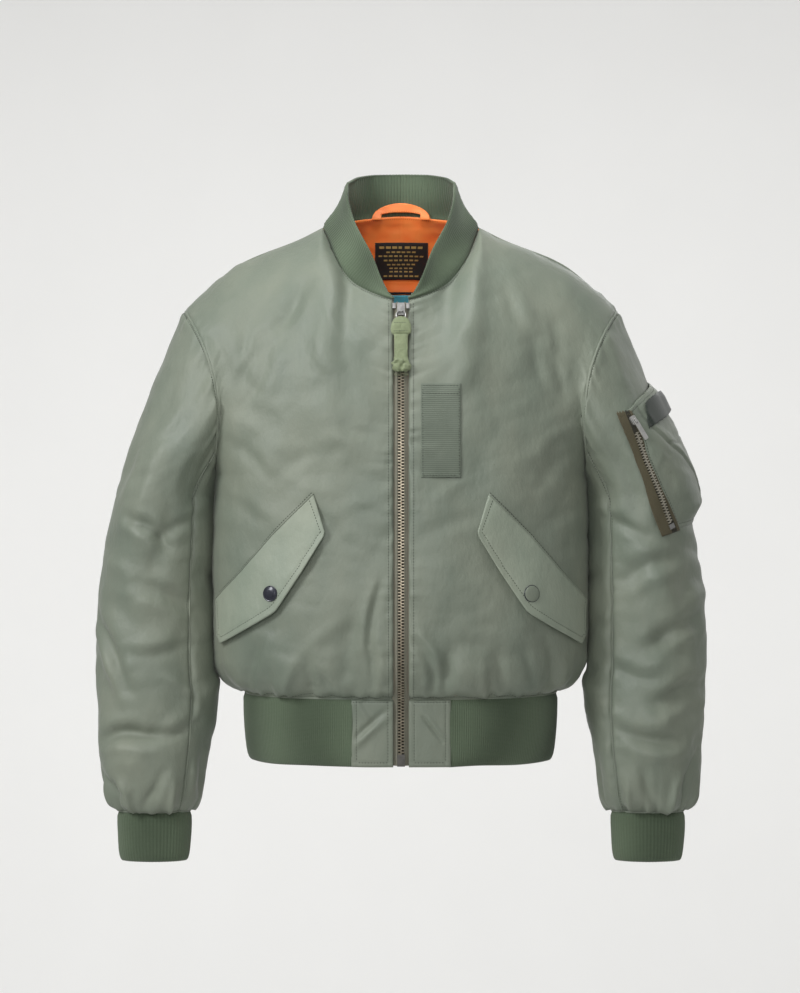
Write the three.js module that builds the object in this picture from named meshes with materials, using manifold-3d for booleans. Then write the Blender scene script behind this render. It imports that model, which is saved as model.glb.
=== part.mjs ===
// Flight-style bomber jacket, filled out as if worn, in millimetres.
// +Z is up, the front faces -Y, and +X is the wearer's left. The origin is the middle of the
// neck opening at the height of the shoulders, where a wearer or a form holds the jacket up.
import * as THREE from 'three';
import { mergeVertices } from 'three/addons/utils/BufferGeometryUtils.js';
import Module from 'manifold-3d';

const wasm = await Module();
wasm.setup();

// Driving dimensions
const wallThick = 3; // shell, padding and lining quilted as one wall
const ribThick = 3.4; // doubled rib knit
const seamGap = 0.3; // between two pieces sewn together
const overlayGap = 0.35; // between a panel and what lies on it
const hemBottom = -638;
const hemSeam = -560;
const armpit = -300;
const shoulderTip = { x: 260, y: 12, z: -103 };
const armholeDepth = { front: 88, back: 92 };
const zipHalfWidth = 11; // from the centre front to the edge of each front panel
const zipChainHalf = 3; // half the width of the closed chain
const hemTabHalf = 56; // from the centre front to the outer edge of each hem tab
const frontSpread = 300; // girth from the centre front to the side seam
const cuffSeam = -700;
const cuffBottom = -758;

const palette = {
  shell: { color: 0x7c8878, roughness: 0.5, metalness: 0 },
  knit: { color: 0x4f5f4a, roughness: 0.9, metalness: 0 },
  lining: { color: 0xe8622a, roughness: 0.6, metalness: 0 },
  webbing: { color: 0x6c776a, roughness: 0.8, metalness: 0 },
  tape: { color: 0x6f6752, roughness: 0.85, metalness: 0 },
  brass: { color: 0x8d7f63, roughness: 0.4, metalness: 0.9 },
  steel: { color: 0x8a8b88, roughness: 0.35, metalness: 0.95 },
  snap: { color: 0x1d1f24, roughness: 0.3, metalness: 0.6 },
  cord: { color: 0x8a9a70, roughness: 0.95, metalness: 0 },
  label: { color: 0x1b1a17, roughness: 0.8, metalness: 0 },
  tab: { color: 0x2f8aa0, roughness: 0.7, metalness: 0 },
  penTab: { color: 0x414b43, roughness: 0.7, metalness: 0 },
};

const vec = (x, y, z) => new THREE.Vector3(x, y, z);
const mix = (a, b, t) => a + (b - a) * t;
const clamp01 = (t) => Math.min(1, Math.max(0, t));
const smooth = (t) => clamp01(t) ** 2 * (3 - 2 * clamp01(t));
const range = (count) => Array.from({ length: count }, (_, i) => i);

// A smooth curve through each column of a table, read by its first column.
function sampler({ columns, rows }) {
  const keys = rows.map((row) => row[0]);
  const slope = (i, k) => (rows[i + 1][k] - rows[i][k]) / (keys[i + 1] - keys[i]);
  const tangent = (i, k) => {
    if (i === 0) return slope(0, k);
    if (i === rows.length - 1) return slope(i - 1, k);
    const before = slope(i - 1, k);
    const after = slope(i, k);
    return before * after <= 0 ? 0 : (2 * before * after) / (before + after);
  };
  return (key) => {
    const at = Math.min(keys[keys.length - 1], Math.max(keys[0], key));
    const i = Math.min(rows.length - 2, Math.max(0, keys.findIndex((k) => k > at) - 1));
    const last = at >= keys[keys.length - 1];
    const low = last ? rows.length - 2 : i;
    const span = keys[low + 1] - keys[low];
    const t = (at - keys[low]) / span;
    const found = {};
    columns.forEach((name, k) => {
      if (k === 0) return;
      found[name] =
        rows[low][k] * (2 * t ** 3 - 3 * t ** 2 + 1) +
        tangent(low, k) * span * (t ** 3 - 2 * t ** 2 + t) +
        rows[low + 1][k] * (3 * t ** 2 - 2 * t ** 3) +
        tangent(low + 1, k) * span * (t ** 3 - t ** 2);
    });
    return found;
  };
}

// The torso by height, up to the armpit
const torsoSection = sampler({
  columns: ['height', 'halfWidth', 'front', 'back'],
  rows: [
    [-638, 182, 128, 121],
    [-600, 185, 130, 123],
    [-560, 187, 131, 124],
    [-551, 202, 140, 133],
    [-538, 214, 146, 139],
    [-518, 222, 150, 143],
    [-480, 225, 151, 143],
    [-430, 225, 149, 141],
    [-370, 224, 144, 136],
    [-300, 222, 139, 130],
  ],
});
const torsoSquareness = 2.35;

// Half of the neck seam, from the centre front over the shoulder point to the centre back
const frontNeck = sampler({
  columns: ['share', 'x', 'y', 'z'],
  rows: [
    [0, 0, -101, -98],
    [0.13, 14, -99, -95],
    [0.48, 51.6, -73, -78],
    [0.76, 78, -36, -43],
    [1, 94, 8, -2],
  ],
});
const backNeck = sampler({
  columns: ['share', 'x', 'y', 'z'],
  rows: [
    [0, 0, 75, 16],
    [0.5, 45, 68, 14],
    [0.82, 78, 44, 8],
    [1, 94, 8, -2],
  ],
});
const frontNeckShare = 0.36; // how much of a front panel's width ends at the neck
const backNeckShare = 0.34;
const shoulderSeam = sampler({
  columns: ['share', 'x', 'y', 'z'],
  rows: [
    [0, 94, 8, -2],
    [0.18, 122, 10, -16],
    [0.6, 193, 12, -45],
    [0.88, 241, 12, -84],
    [1, 260, 12, -103],
  ],
});

// The collar's folded edge, above the neck seam, by the same share of the neck
const collarFrontEdge = sampler({
  columns: ['share', 'x', 'y', 'z'],
  rows: [
    [0.11, 13.5, -97, -90],
    [0.3, 24, -90, -70],
    [0.52, 37, -71, -37],
    [0.76, 58, -39, 8],
    [0.9, 65, -8, 40],
    [1, 65, 18, 54],
  ],
});
const collarBackEdge = sampler({
  columns: ['share', 'x', 'y', 'z'],
  rows: [
    [0, 0, 68, 69],
    [0.5, 32, 64, 68],
    [0.82, 54, 45, 63],
    [1, 65, 18, 54],
  ],
});

// A sleeve below the arm, by height: its inner and outer edge and its front-to-back form
const sleeveSection = sampler({
  columns: ['height', 'inner', 'outer', 'middle', 'halfDepth'],
  rows: [
    [-700, 250, 337, -26, 27],
    [-692, 243, 346, -26, 40],
    [-680, 238, 352, -25, 48],
    [-654, 234, 356, -23, 55],
    [-594, 227, 361, -18, 61],
    [-558, 226, 363, -14, 64],
    [-522, 228.5, 365, -10, 68],
    [-450, 228.5, 364, -2, 76],
    [-390, 228, 355, 4, 84],
    [-330, 227, 343, 8, 90],
  ],
});
const bicepHeight = -330;

// Soft folds of the body, in the girth from the centre front and the height: a ridge is
// positive, a trough negative, lean is its angle from upright, and side is -1 right, 1 left
// and 0 both.
const bodyFolds = [
  { girth: 62, height: -170, length: 120, width: 15, depth: -4, lean: 4, side: -1 },
  { girth: 92, height: -150, length: 110, width: 18, depth: 4, lean: -8, side: -1 },
  { girth: 140, height: -135, length: 110, width: 17, depth: -3.5, lean: -24, side: -1 },
  { girth: 205, height: -170, length: 90, width: 14, depth: -3, lean: 12, side: -1 },
  { girth: 120, height: -285, length: 120, width: 20, depth: -3, lean: -30, side: -1 },
  { girth: 60, height: -500, length: 120, width: 12, depth: -5, lean: -7, side: -1 },
  { girth: 95, height: -520, length: 60, width: 14, depth: 3, lean: -20, side: -1 },
  { girth: 75, height: -150, length: 120, width: 16, depth: 4, lean: -6, side: 1 },
  { girth: 50, height: -190, length: 120, width: 14, depth: -3, lean: -14, side: 1 },
  { girth: 150, height: -160, length: 120, width: 18, depth: 3.5, lean: 20, side: 1 },
  { girth: 205, height: -180, length: 90, width: 14, depth: -3, lean: -8, side: 1 },
  { girth: 110, height: -330, length: 130, width: 20, depth: 2.5, lean: 20, side: 1 },
  { girth: 56, height: -520, length: 70, width: 12, depth: -4, lean: 14, side: 1 },
  { girth: 120, height: -420, length: 130, width: 20, depth: -2.5, lean: -6, side: 1 },
  { girth: 400, height: -260, length: 160, width: 20, depth: -4, lean: 10, side: 0 },
  { girth: 470, height: -330, length: 150, width: 22, depth: 3.5, lean: -14, side: -1 },
  { girth: 520, height: -200, length: 140, width: 20, depth: -3.5, lean: 12, side: 1 },
  { girth: 440, height: -450, length: 120, width: 18, depth: -4, lean: 22, side: 1 },
  { girth: 530, height: -420, length: 140, width: 20, depth: 3, lean: -8, side: -1 },
  { girth: 360, height: -500, length: 100, width: 16, depth: -4, lean: -16, side: 0 },
];

// Soft folds of the sleeves: turn is the angle from the outer side towards the front, in
// degrees, and lean tips the fold over from level.
const sleeveFolds = [
  { turn: 40, height: -260, length: 150, width: 17, depth: -5, lean: 78, side: -1 },
  { turn: 75, height: -300, length: 150, width: 15, depth: 4, lean: 84, side: -1 },
  { turn: 100, height: -380, length: 130, width: 15, depth: -5, lean: 78, side: -1 },
  { turn: 55, height: -455, length: 80, width: 14, depth: -4, lean: -28, side: -1 },
  { turn: 95, height: -500, length: 80, width: 14, depth: 4, lean: 12, side: -1 },
  { turn: 35, height: -545, length: 80, width: 15, depth: -5, lean: -45, side: -1 },
  { turn: 80, height: -600, length: 95, width: 14, depth: -6, lean: 10, side: -1 },
  { turn: 60, height: -640, length: 90, width: 13, depth: 4, lean: 18, side: -1 },
  { turn: 60, height: -250, length: 120, width: 16, depth: 4, lean: 82, side: 1 },
  { turn: 105, height: -300, length: 130, width: 15, depth: -5, lean: 80, side: 1 },
  { turn: 85, height: -420, length: 100, width: 15, depth: 4, lean: 60, side: 1 },
  { turn: 70, height: -500, length: 90, width: 15, depth: -5, lean: 28, side: 1 },
  { turn: 50, height: -570, length: 90, width: 14, depth: -5, lean: 14, side: 1 },
  { turn: 85, height: -585, length: 60, width: 13, depth: 4, lean: 8, side: 1 },
  { turn: 40, height: -630, length: 80, width: 14, depth: -4, lean: -35, side: 1 },
  { turn: -60, height: -480, length: 110, width: 16, depth: -5, lean: 20, side: 0 },
  { turn: -80, height: -560, length: 90, width: 15, depth: 4, lean: -14, side: 0 },
  { turn: -45, height: -290, length: 130, width: 18, depth: -4, lean: 80, side: 0 },
  { turn: -95, height: -620, length: 80, width: 14, depth: -5, lean: 12, side: 0 },
];
const hemGathers = { count: 19, depth: 3.2, reach: 70 };
const cuffGathers = { count: 7, depth: 4, reach: 50 };

// A soft ridge or trough with faded ends; across and along are from its middle.
function foldShape(across, along, fold) {
  const end = clamp01(1 - Math.abs(along) / (fold.length / 2));
  return fold.depth * Math.exp(-((across / fold.width) ** 2)) * smooth(end * 1.4);
}

function bodyRelief(girth, height, side) {
  let out = 0;
  for (const fold of bodyFolds) {
    if (fold.side && fold.side !== side) continue;
    const lean = THREE.MathUtils.degToRad(fold.lean);
    const across = girth - fold.girth;
    const up = height - fold.height;
    out += foldShape(
      across * Math.cos(lean) - up * Math.sin(lean),
      across * Math.sin(lean) + up * Math.cos(lean),
      fold,
    );
  }
  const above = height - hemSeam;
  const phase = (girth / (2 * frontSpread)) * hemGathers.count * Math.PI + 0.9 * Math.sin(girth / 47 + side);
  const fade = smooth(above / 14) * smooth(1 - above / hemGathers.reach);
  return out + hemGathers.depth * Math.sin(phase) * fade;
}

function sleeveRelief(turn, height, side) {
  let out = 0;
  const radius = 75;
  for (const fold of sleeveFolds) {
    if (fold.side && fold.side !== side) continue;
    const lean = THREE.MathUtils.degToRad(fold.lean);
    const away = ((((turn - fold.turn + 180) % 360) + 360) % 360) - 180;
    const along = THREE.MathUtils.degToRad(away) * radius;
    const up = height - fold.height;
    out += foldShape(
      up * Math.cos(lean) - along * Math.sin(lean),
      along * Math.cos(lean) + up * Math.sin(lean),
      fold,
    );
  }
  const above = height - cuffSeam;
  const angle = THREE.MathUtils.degToRad(turn);
  const phase = cuffGathers.count * angle + 0.8 * Math.sin(2 * angle + side);
  return out + cuffGathers.depth * Math.sin(phase) * smooth(above / 12) * smooth(1 - above / cuffGathers.reach);
}

// A point of the torso's ring: share runs from the centre (0) to the side seam (1).
function torsoPoint(height, share, side, isBack) {
  const section = torsoSection(height);
  const deep = isBack ? section.back : section.front;
  const spread = frontSpread / section.halfWidth;
  const eccentric = share * spread * (1 - share ** 2) + (Math.PI / 2) * share ** 3;
  const angle = Math.atan2(section.halfWidth * Math.sin(eccentric), deep * Math.cos(eccentric));
  const power = torsoSquareness;
  const reach =
    (Math.abs(Math.cos(angle) / deep) ** power + Math.abs(Math.sin(angle) / section.halfWidth) ** power) **
    (-1 / power);
  return vec(side * reach * Math.sin(angle), (isBack ? 1 : -1) * reach * Math.cos(angle), height);
}

// The armhole seam: 0 at the shoulder tip, a quarter turn at the front, a half at the armpit.
function armholePoint(angle, side) {
  const top = (1 + Math.cos(angle)) / 2;
  const turn = Math.sin(angle);
  const depth = turn > 0 ? armholeDepth.front : armholeDepth.back;
  const scoop = turn > 0 ? 12 : 7;
  const width = torsoSection(armpit).halfWidth;
  return vec(
    side * (mix(width, shoulderTip.x, top ** 2.5) - scoop * turn * turn),
    shoulderTip.y * top - depth * turn,
    mix(armpit, shoulderTip.z, top),
  );
}
const armholeMiddle = (side) => vec(side * 236, 6, (armpit + shoulderTip.z) / 2);

// A cubic between two points with the given directions at its ends.
function arc(from, leave, to, arrive, t) {
  const chord = from.distanceTo(to);
  return vec(0, 0, 0)
    .addScaledVector(from, 2 * t ** 3 - 3 * t ** 2 + 1)
    .addScaledVector(leave, chord * (t ** 3 - 2 * t ** 2 + t))
    .addScaledVector(to, 3 * t ** 2 - 2 * t ** 3)
    .addScaledVector(arrive, chord * (t ** 3 - t ** 2));
}

function topEdge(share, side, isBack) {
  const neckShare = isBack ? backNeckShare : frontNeckShare;
  const found =
    share <= neckShare
      ? (isBack ? backNeck : frontNeck)(share / neckShare)
      : shoulderSeam((share - neckShare) / (1 - neckShare));
  return vec(side * found.x, found.y, found.z);
}

// The direction in which a panel's columns arrive at the neck and the shoulder seam.
function arrival(share, isBack) {
  const neckShare = isBack ? backNeckShare : frontNeckShare;
  const over = smooth(share / neckShare);
  const way = isBack ? -1 : 1;
  return vec(0, way * mix(isBack ? 0.3 : 0.22, 0.97, over), mix(0.95, 0.22, over)).normalize();
}

// A point of the upper body: rise runs from the armpit (0) to the top edge (1).
function upperPoint(rise, share, side, isBack) {
  const up = vec(0, 0, 1);
  const straight = (s) =>
    arc(torsoPoint(armpit, s, side, isBack), up, topEdge(s, side, isBack), arrival(s, isBack), rise);
  const point = straight(share);
  const pull = clamp01((share - 0.4) / 0.6) ** 2.2;
  if (pull > 0) {
    const angle = Math.PI * (1 - rise) * (isBack ? -1 : 1);
    point.addScaledVector(armholePoint(angle, side).sub(straight(1)), pull);
  }
  return point;
}

const lowerHeights = [-560, -552, -541, -526, -506, -478, -446, -410, -372, -335, -300];
const upperRises = range(12).map((i) => (i + 1) / 12);
const bodyRows = [
  ...lowerHeights.map((height) => ({ height })),
  ...upperRises.map((rise) => ({ rise, height: armpit + rise * 300 })),
];
const armpitRow = lowerHeights.length - 1;

function bodyPoint(row, share, side, isBack) {
  return row.rise === undefined
    ? torsoPoint(row.height, share, side, isBack)
    : upperPoint(row.rise, share, side, isBack);
}

// Unit normals of a grid of points, pointing away from the given inner point of each.
function normalsOf(grid, closed = false) {
  const rows = grid.length;
  const cols = grid[0].length;
  const wrap = (c) => (closed ? (c + cols) % cols : Math.min(cols - 1, Math.max(0, c)));
  return grid.map((line, r) =>
    line.map((_, c) => {
      const along = vec(0, 0, 0).subVectors(line[wrap(c + 1)], line[wrap(c - 1)]);
      const up = vec(0, 0, 0).subVectors(grid[Math.min(rows - 1, r + 1)][c], grid[Math.max(0, r - 1)][c]);
      return along.cross(up).normalize();
    }),
  );
}

// The wall's inward direction at each seam, shared by the pieces that meet there
const seamInward = {
  side: (point) => vec(-Math.sign(point.x), 0, 0),
  shoulder: (point) => vec(-0.45 * Math.sign(point.x), -0.05, -1).normalize(),
  neck: (point) => vec(-point.x, -(point.y + 12), -40 - 60 * smooth(Math.abs(point.x) / 94)).normalize(),
  armhole: (point) => armholeMiddle(Math.sign(point.x)).sub(point).normalize(),
  hem: (point) => vec(-point.x, -point.y, 90).normalize(),
};

// Draws a grid's outer rows and columns back from their seams by half a seam gap.
function trimmed(grid, ways, closed = false) {
  const half = seamGap / 2 + 0.02;
  const lastRow = grid.length - 1;
  const lastCol = grid[0].length - 1;
  const cols = lastCol + 1;
  const wrap = (c) => (closed ? (c + cols) % cols : Math.min(lastCol, Math.max(0, c)));
  const back = (point, along, way, neighbour) => {
    const across = vec(0, 0, 0).crossVectors(along, way).normalize();
    const toward = across.dot(neighbour.clone().sub(point)) < 0 ? -half : half;
    return across.multiplyScalar(toward);
  };
  return grid.map((line, r) =>
    line.map((p, c) => {
      const made = p.clone();
      if (r === 0 || r === lastRow) {
        const along = vec(0, 0, 0).subVectors(line[wrap(c + 1)], line[wrap(c - 1)]);
        made.add(back(p, along, ways[r][c], grid[r === 0 ? 1 : lastRow - 1][c]));
      }
      if (!closed && (c === 0 || c === lastCol)) {
        const along = vec(0, 0, 0).subVectors(grid[Math.min(lastRow, r + 1)][c], grid[Math.max(0, r - 1)][c]);
        made.add(back(p, along, ways[r][c], line[c === 0 ? 1 : lastCol - 1]));
      }
      return made;
    }),
  );
}

// A closed wall between two grids of the same shape.
function slab(outer, inner, closed = false) {
  const rows = outer.length;
  const cols = outer[0].length;
  const points = [...outer.flat(), ...inner.flat()];
  const faces = [];
  const at = (layer, r, c) => layer * rows * cols + r * cols + (c % cols);
  const quad = (a, b, c, d) => faces.push(a, b, c, a, c, d);
  const rim = (a, b, c, d) => {
    const shorter = points[a].distanceTo(points[c]) < points[b].distanceTo(points[d]);
    if (shorter) quad(a, b, c, d);
    else quad(b, c, d, a);
  };
  const lastCol = closed ? cols : cols - 1;
  for (let c = 0; c < lastCol; c += 1) {
    for (let r = 0; r < rows - 1; r += 1) {
      quad(at(0, r, c), at(0, r, c + 1), at(0, r + 1, c + 1), at(0, r + 1, c));
      quad(at(1, r, c), at(1, r + 1, c), at(1, r + 1, c + 1), at(1, r, c + 1));
    }
    const top = rows - 1;
    rim(at(1, 0, c), at(1, 0, c + 1), at(0, 0, c + 1), at(0, 0, c));
    rim(at(0, top, c), at(0, top, c + 1), at(1, top, c + 1), at(1, top, c));
  }
  for (let r = 0; !closed && r < rows - 1; r += 1) {
    const end = cols - 1;
    rim(at(0, r, 0), at(0, r + 1, 0), at(1, r + 1, 0), at(1, r, 0));
    rim(at(1, r + 1, end), at(0, r + 1, end), at(0, r, end), at(1, r, end));
  }
  return outward(points, faces);
}

// A geometry from points and faces, turned so that its volume is positive.
function outward(points, faces) {
  let volume = 0;
  for (let i = 0; i < faces.length; i += 3) {
    const [a, b, c] = [points[faces[i]], points[faces[i + 1]], points[faces[i + 2]]];
    volume += a.dot(vec(0, 0, 0).crossVectors(b, c));
  }
  if (volume < 0) faces.reverse();
  const geometry = new THREE.BufferGeometry().setFromPoints(points);
  return geometry.setIndex(faces);
}

function solidOf(geometry) {
  const bare = geometry.clone();
  bare.deleteAttribute('normal');
  bare.deleteAttribute('uv');
  const merged = mergeVertices(bare, 1e-3);
  return new wasm.Manifold(
    new wasm.Mesh({
      numProp: 3,
      vertProperties: merged.attributes.position.array,
      triVerts: new Uint32Array(merged.index.array),
    }),
  );
}

function geometryOf(solid) {
  const mesh = solid.getMesh();
  const geometry = new THREE.BufferGeometry();
  geometry.setAttribute('position', new THREE.BufferAttribute(new Float32Array(mesh.vertProperties), 3));
  return geometry.setIndex(new THREE.BufferAttribute(new Uint32Array(mesh.triVerts), 1));
}

const moved = (grid, ways, distance) =>
  grid.map((line, r) =>
    line.map((p, c) => p.clone().addScaledVector(ways[r][c], typeof distance === 'function' ? distance(p, r, c) : distance)),
  );

const jacket = new THREE.Group();
function add(name, geometry, finish) {
  const mesh = new THREE.Mesh(geometry, new THREE.MeshStandardMaterial(palette[finish]));
  mesh.name = name;
  jacket.add(mesh);
  return mesh;
}

// The body's panels. Each keeps its grid, so that what lies on it can use the same points.
const frontShares = [
  0, zipChainHalf / frontSpread, zipHalfWidth / frontSpread, 0.085, 0.135, 0.187, 0.245, 0.305,
  frontNeckShare, 0.44, 0.53, 0.62, 0.71, 0.79, 0.86, 0.93, 1,
];
const panelStart = 2; // the first of these columns that is cloth
const tabEnd = 5; // the column at the outer edge of a hem tab
const backShares = [0, 0.09, 0.175, 0.26, backNeckShare, 0.44, 0.54, 0.64, 0.73, 0.82, 0.91, 1];

// How much of the relief a place takes: none at the zip and the seams that others share.
function reliefMask(share, row, isBack) {
  const fromZip = isBack ? 1 : smooth((share * frontSpread - zipHalfWidth) / 34);
  const belowArmpit = row.rise === undefined ? (armpit - row.height) / 90 : 0;
  const fromSide = smooth(Math.max((1 - share) / 0.16, belowArmpit));
  const fromTop = row.rise === undefined ? 1 : smooth((1 - row.rise) / 0.25);
  return fromZip * fromSide * fromTop;
}

function bodyGrid(shares, side, isBack) {
  const plain = bodyRows.map((row) => shares.map((share) => bodyPoint(row, share, side, isBack)));
  const flip = side * (isBack ? -1 : 1);
  const normals = normalsOf(plain).map((line) => line.map((n) => n.multiplyScalar(flip)));
  return plain.map((line, r) =>
    line.map((p, c) => {
      const girth = frontSpread * (isBack ? 2 - shares[c] : shares[c]);
      const relief = bodyRelief(girth, bodyRows[r].height, side) * reliefMask(shares[c], bodyRows[r], isBack);
      const offSide = c === shares.length - 1 && bodyRows[r].rise === undefined;
      return p.clone().addScaledVector(offSide ? seamInward.side(p).negate() : normals[r][c], relief);
    }),
  );
}

// Inward directions of a body panel, with each seam's own along its edges.
function bodyInward(grid, shares, sideOf, isBack, flip) {
  const neckShare = isBack ? backNeckShare : frontNeckShare;
  return normalsOf(grid).map((line, r) =>
    line.map((n, c) => {
      const share = shares[c];
      const point = grid[r][c];
      const atSide = share === 1;
      if (atSide && r >= armpitRow) return seamInward.armhole(point);
      if (r === grid.length - 1) return share <= neckShare ? seamInward.neck(point) : seamInward.shoulder(point);
      if (r === 0) return seamInward.hem(point);
      if (atSide) return seamInward.side(point);
      return n.multiplyScalar(flip);
    }),
  );
}

const fronts = {};
for (const [name, side] of [['right', -1], ['left', 1]]) {
  const grid = bodyGrid(frontShares, side, false);
  const inward = bodyInward(grid, frontShares, side, false, -side);
  fronts[name] = { side, grid, inward };
  const ways = inward.map((line) => line.slice(panelStart));
  const cloth = trimmed(grid.map((line) => line.slice(panelStart)), ways);
  add('front_' + name, slab(cloth, moved(cloth, ways, wallThick)), 'shell');
}

const backHalf = (side) => bodyGrid(backShares, side, true);
const [backRight, backLeft] = [backHalf(-1), backHalf(1)];
const back = {
  grid: backRight.map((line, r) => [...line.slice(1).reverse(), ...backLeft[r]]),
  shares: [...backShares.slice(1).reverse(), ...backShares],
};
back.inward = bodyInward(back.grid, back.shares, 0, true, 1);
const backCloth = trimmed(back.grid, back.inward);
add('back', slab(backCloth, moved(backCloth, back.inward, wallThick)), 'shell');

// The hem: two woven tabs beside the zip and one rib knit band round the rest
const hemHeights = [hemBottom, -612, -586, hemSeam];
const hemLine = (height) => {
  const front = (side) => frontShares.slice(tabEnd).map((share) => torsoPoint(height, share, side, false));
  const rear = (side) => backShares.map((share) => torsoPoint(height, share, side, true));
  return [...front(-1), ...rear(-1).reverse().slice(1), ...rear(1).slice(1), ...front(1).reverse().slice(1)];
};
const hemInward = (grid) =>
  grid.map((line, r) =>
    line.map((p) => (r === grid.length - 1 ? seamInward.hem(p) : vec(-p.x, -p.y * 1.7, 0).normalize())),
  );
const hemBand = (grid, thick) => {
  const ways = hemInward(grid);
  const cloth = trimmed(grid, ways);
  return slab(cloth, moved(cloth, ways, thick));
};
add('hem_rib', hemBand(hemHeights.map(hemLine), ribThick), 'knit');
for (const name of Object.keys(fronts)) {
  const { side } = fronts[name];
  const tabShares = frontShares.slice(panelStart, tabEnd + 1);
  const grid = hemHeights.map((h) => tabShares.map((share) => torsoPoint(h, share, side, false)));
  add('hem_tab_' + name, hemBand(grid, wallThick), 'shell');
}

// The collar: one folded rib knit band from one side of the zip to the other
const neckColumns = (shares, neckShare) => shares.filter((s) => s <= neckShare).map((s) => s / neckShare);
const collarShares = neckColumns(frontShares.slice(panelStart), frontNeckShare);
const collarBackShares = neckColumns(backShares, backNeckShare).reverse().slice(1);
const collarStart = collarShares[0];
const collarRise = [0, 0.3, 0.65, 0.9, 1];
function collarPoint(share, rise, side, isBack) {
  const low = (isBack ? backNeck : frontNeck)(share);
  const high = (isBack ? collarBackEdge : collarFrontEdge)(share);
  const hollow = -5 * Math.sin(Math.PI * rise) * smooth(isBack ? 1 : (share - collarStart) / 0.4);
  const radius = Math.hypot(low.x, low.y + 12);
  return vec(
    side * (mix(low.x, high.x, rise) + (hollow * low.x) / radius),
    mix(low.y, high.y, rise) + (hollow * (low.y + 12)) / radius,
    mix(low.z, high.z, rise),
  );
}
const collarLine = (rise) => {
  const half = (side) => [
    ...collarShares.map((share) => collarPoint(share, rise, side, false)),
    ...collarBackShares.map((share) => collarPoint(share, rise, side, true)),
  ];
  return [...half(-1), ...half(1).reverse().slice(1)];
};
const collarGrid = collarRise.map(collarLine);
const collarInward = normalsOf(collarGrid).map((line, r) =>
  line.map((n, c) => (r === 0 ? seamInward.neck(collarGrid[r][c]) : n.clone())),
);
const collarBackMiddle = collarShares.length + collarBackShares.length - 1;
const collarFlip = collarInward[2][collarBackMiddle].y > 0 ? -1 : 1;
collarInward.slice(1).forEach((line) => line.forEach((n) => n.multiplyScalar(collarFlip)));
const collarCloth = trimmed(collarGrid, collarInward);
add('collar', slab(collarCloth, moved(collarCloth, collarInward, ribThick)), 'knit');

// The sleeves: a top and an under panel each, joined along two seams
const sleeveTurns = range(24).map((i) => i * 15);
const capShares = range(8).map((i) => i / 8);
const sleeveHeights = [-330, -368, -408, -448, -486, -522, -556, -590, -622, -650, -672, -688, -700];
const frontSeamTurn = 135;
const backSeamTurn = 240;
function sleeveRing(height, turn, side) {
  const at = sleeveSection(height);
  const angle = THREE.MathUtils.degToRad(turn);
  const middle = (at.inner + at.outer) / 2;
  const half = (at.outer - at.inner) / 2;
  return vec(side * (middle + half * Math.cos(angle)), at.middle - at.halfDepth * Math.sin(angle), height);
}
function capPoint(share, turn, side) {
  const angle = THREE.MathUtils.degToRad(turn);
  const from = armholePoint(angle > Math.PI ? angle - 2 * Math.PI : angle, side);
  const to = sleeveRing(bicepHeight, turn, side);
  const out = (1 + Math.cos(angle)) / 2;
  const clear = mix(0.1, 0.4, smooth((Math.abs(turn - 180) - 4) / 30));
  const leave = vec(side * clear, -0.12 * Math.sin(angle), -1).normalize();
  const arrive = vec(side * mix(0, 0.22, out), 0, -1).normalize();
  return arc(from, leave, to, arrive, share);
}
function sleeveGrid(side) {
  const rows = [
    ...capShares.map((share) => sleeveTurns.map((turn) => ({ p: capPoint(share, turn, side), share }))),
    ...sleeveHeights.map((h) => sleeveTurns.map((turn) => ({ p: sleeveRing(h, turn, side), share: 1 }))),
  ];
  const plain = rows.map((line) => line.map(({ p }) => p));
  const normals = normalsOf(plain, true).map((line) => line.map((n) => n.multiplyScalar(side)));
  const underarm = (turn) => smooth(1 - Math.abs(turn - 180) / 60);
  return rows.map((line, r) =>
    line.map(({ p, share }, c) => {
      const turn = sleeveTurns[c];
      const mask = smooth(share / 0.5) * (1 - underarm(turn));
      return p.clone().addScaledVector(normals[r][c], sleeveRelief(turn, p.z, side) * mask);
    }),
  );
}
const sleeves = {};
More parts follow.
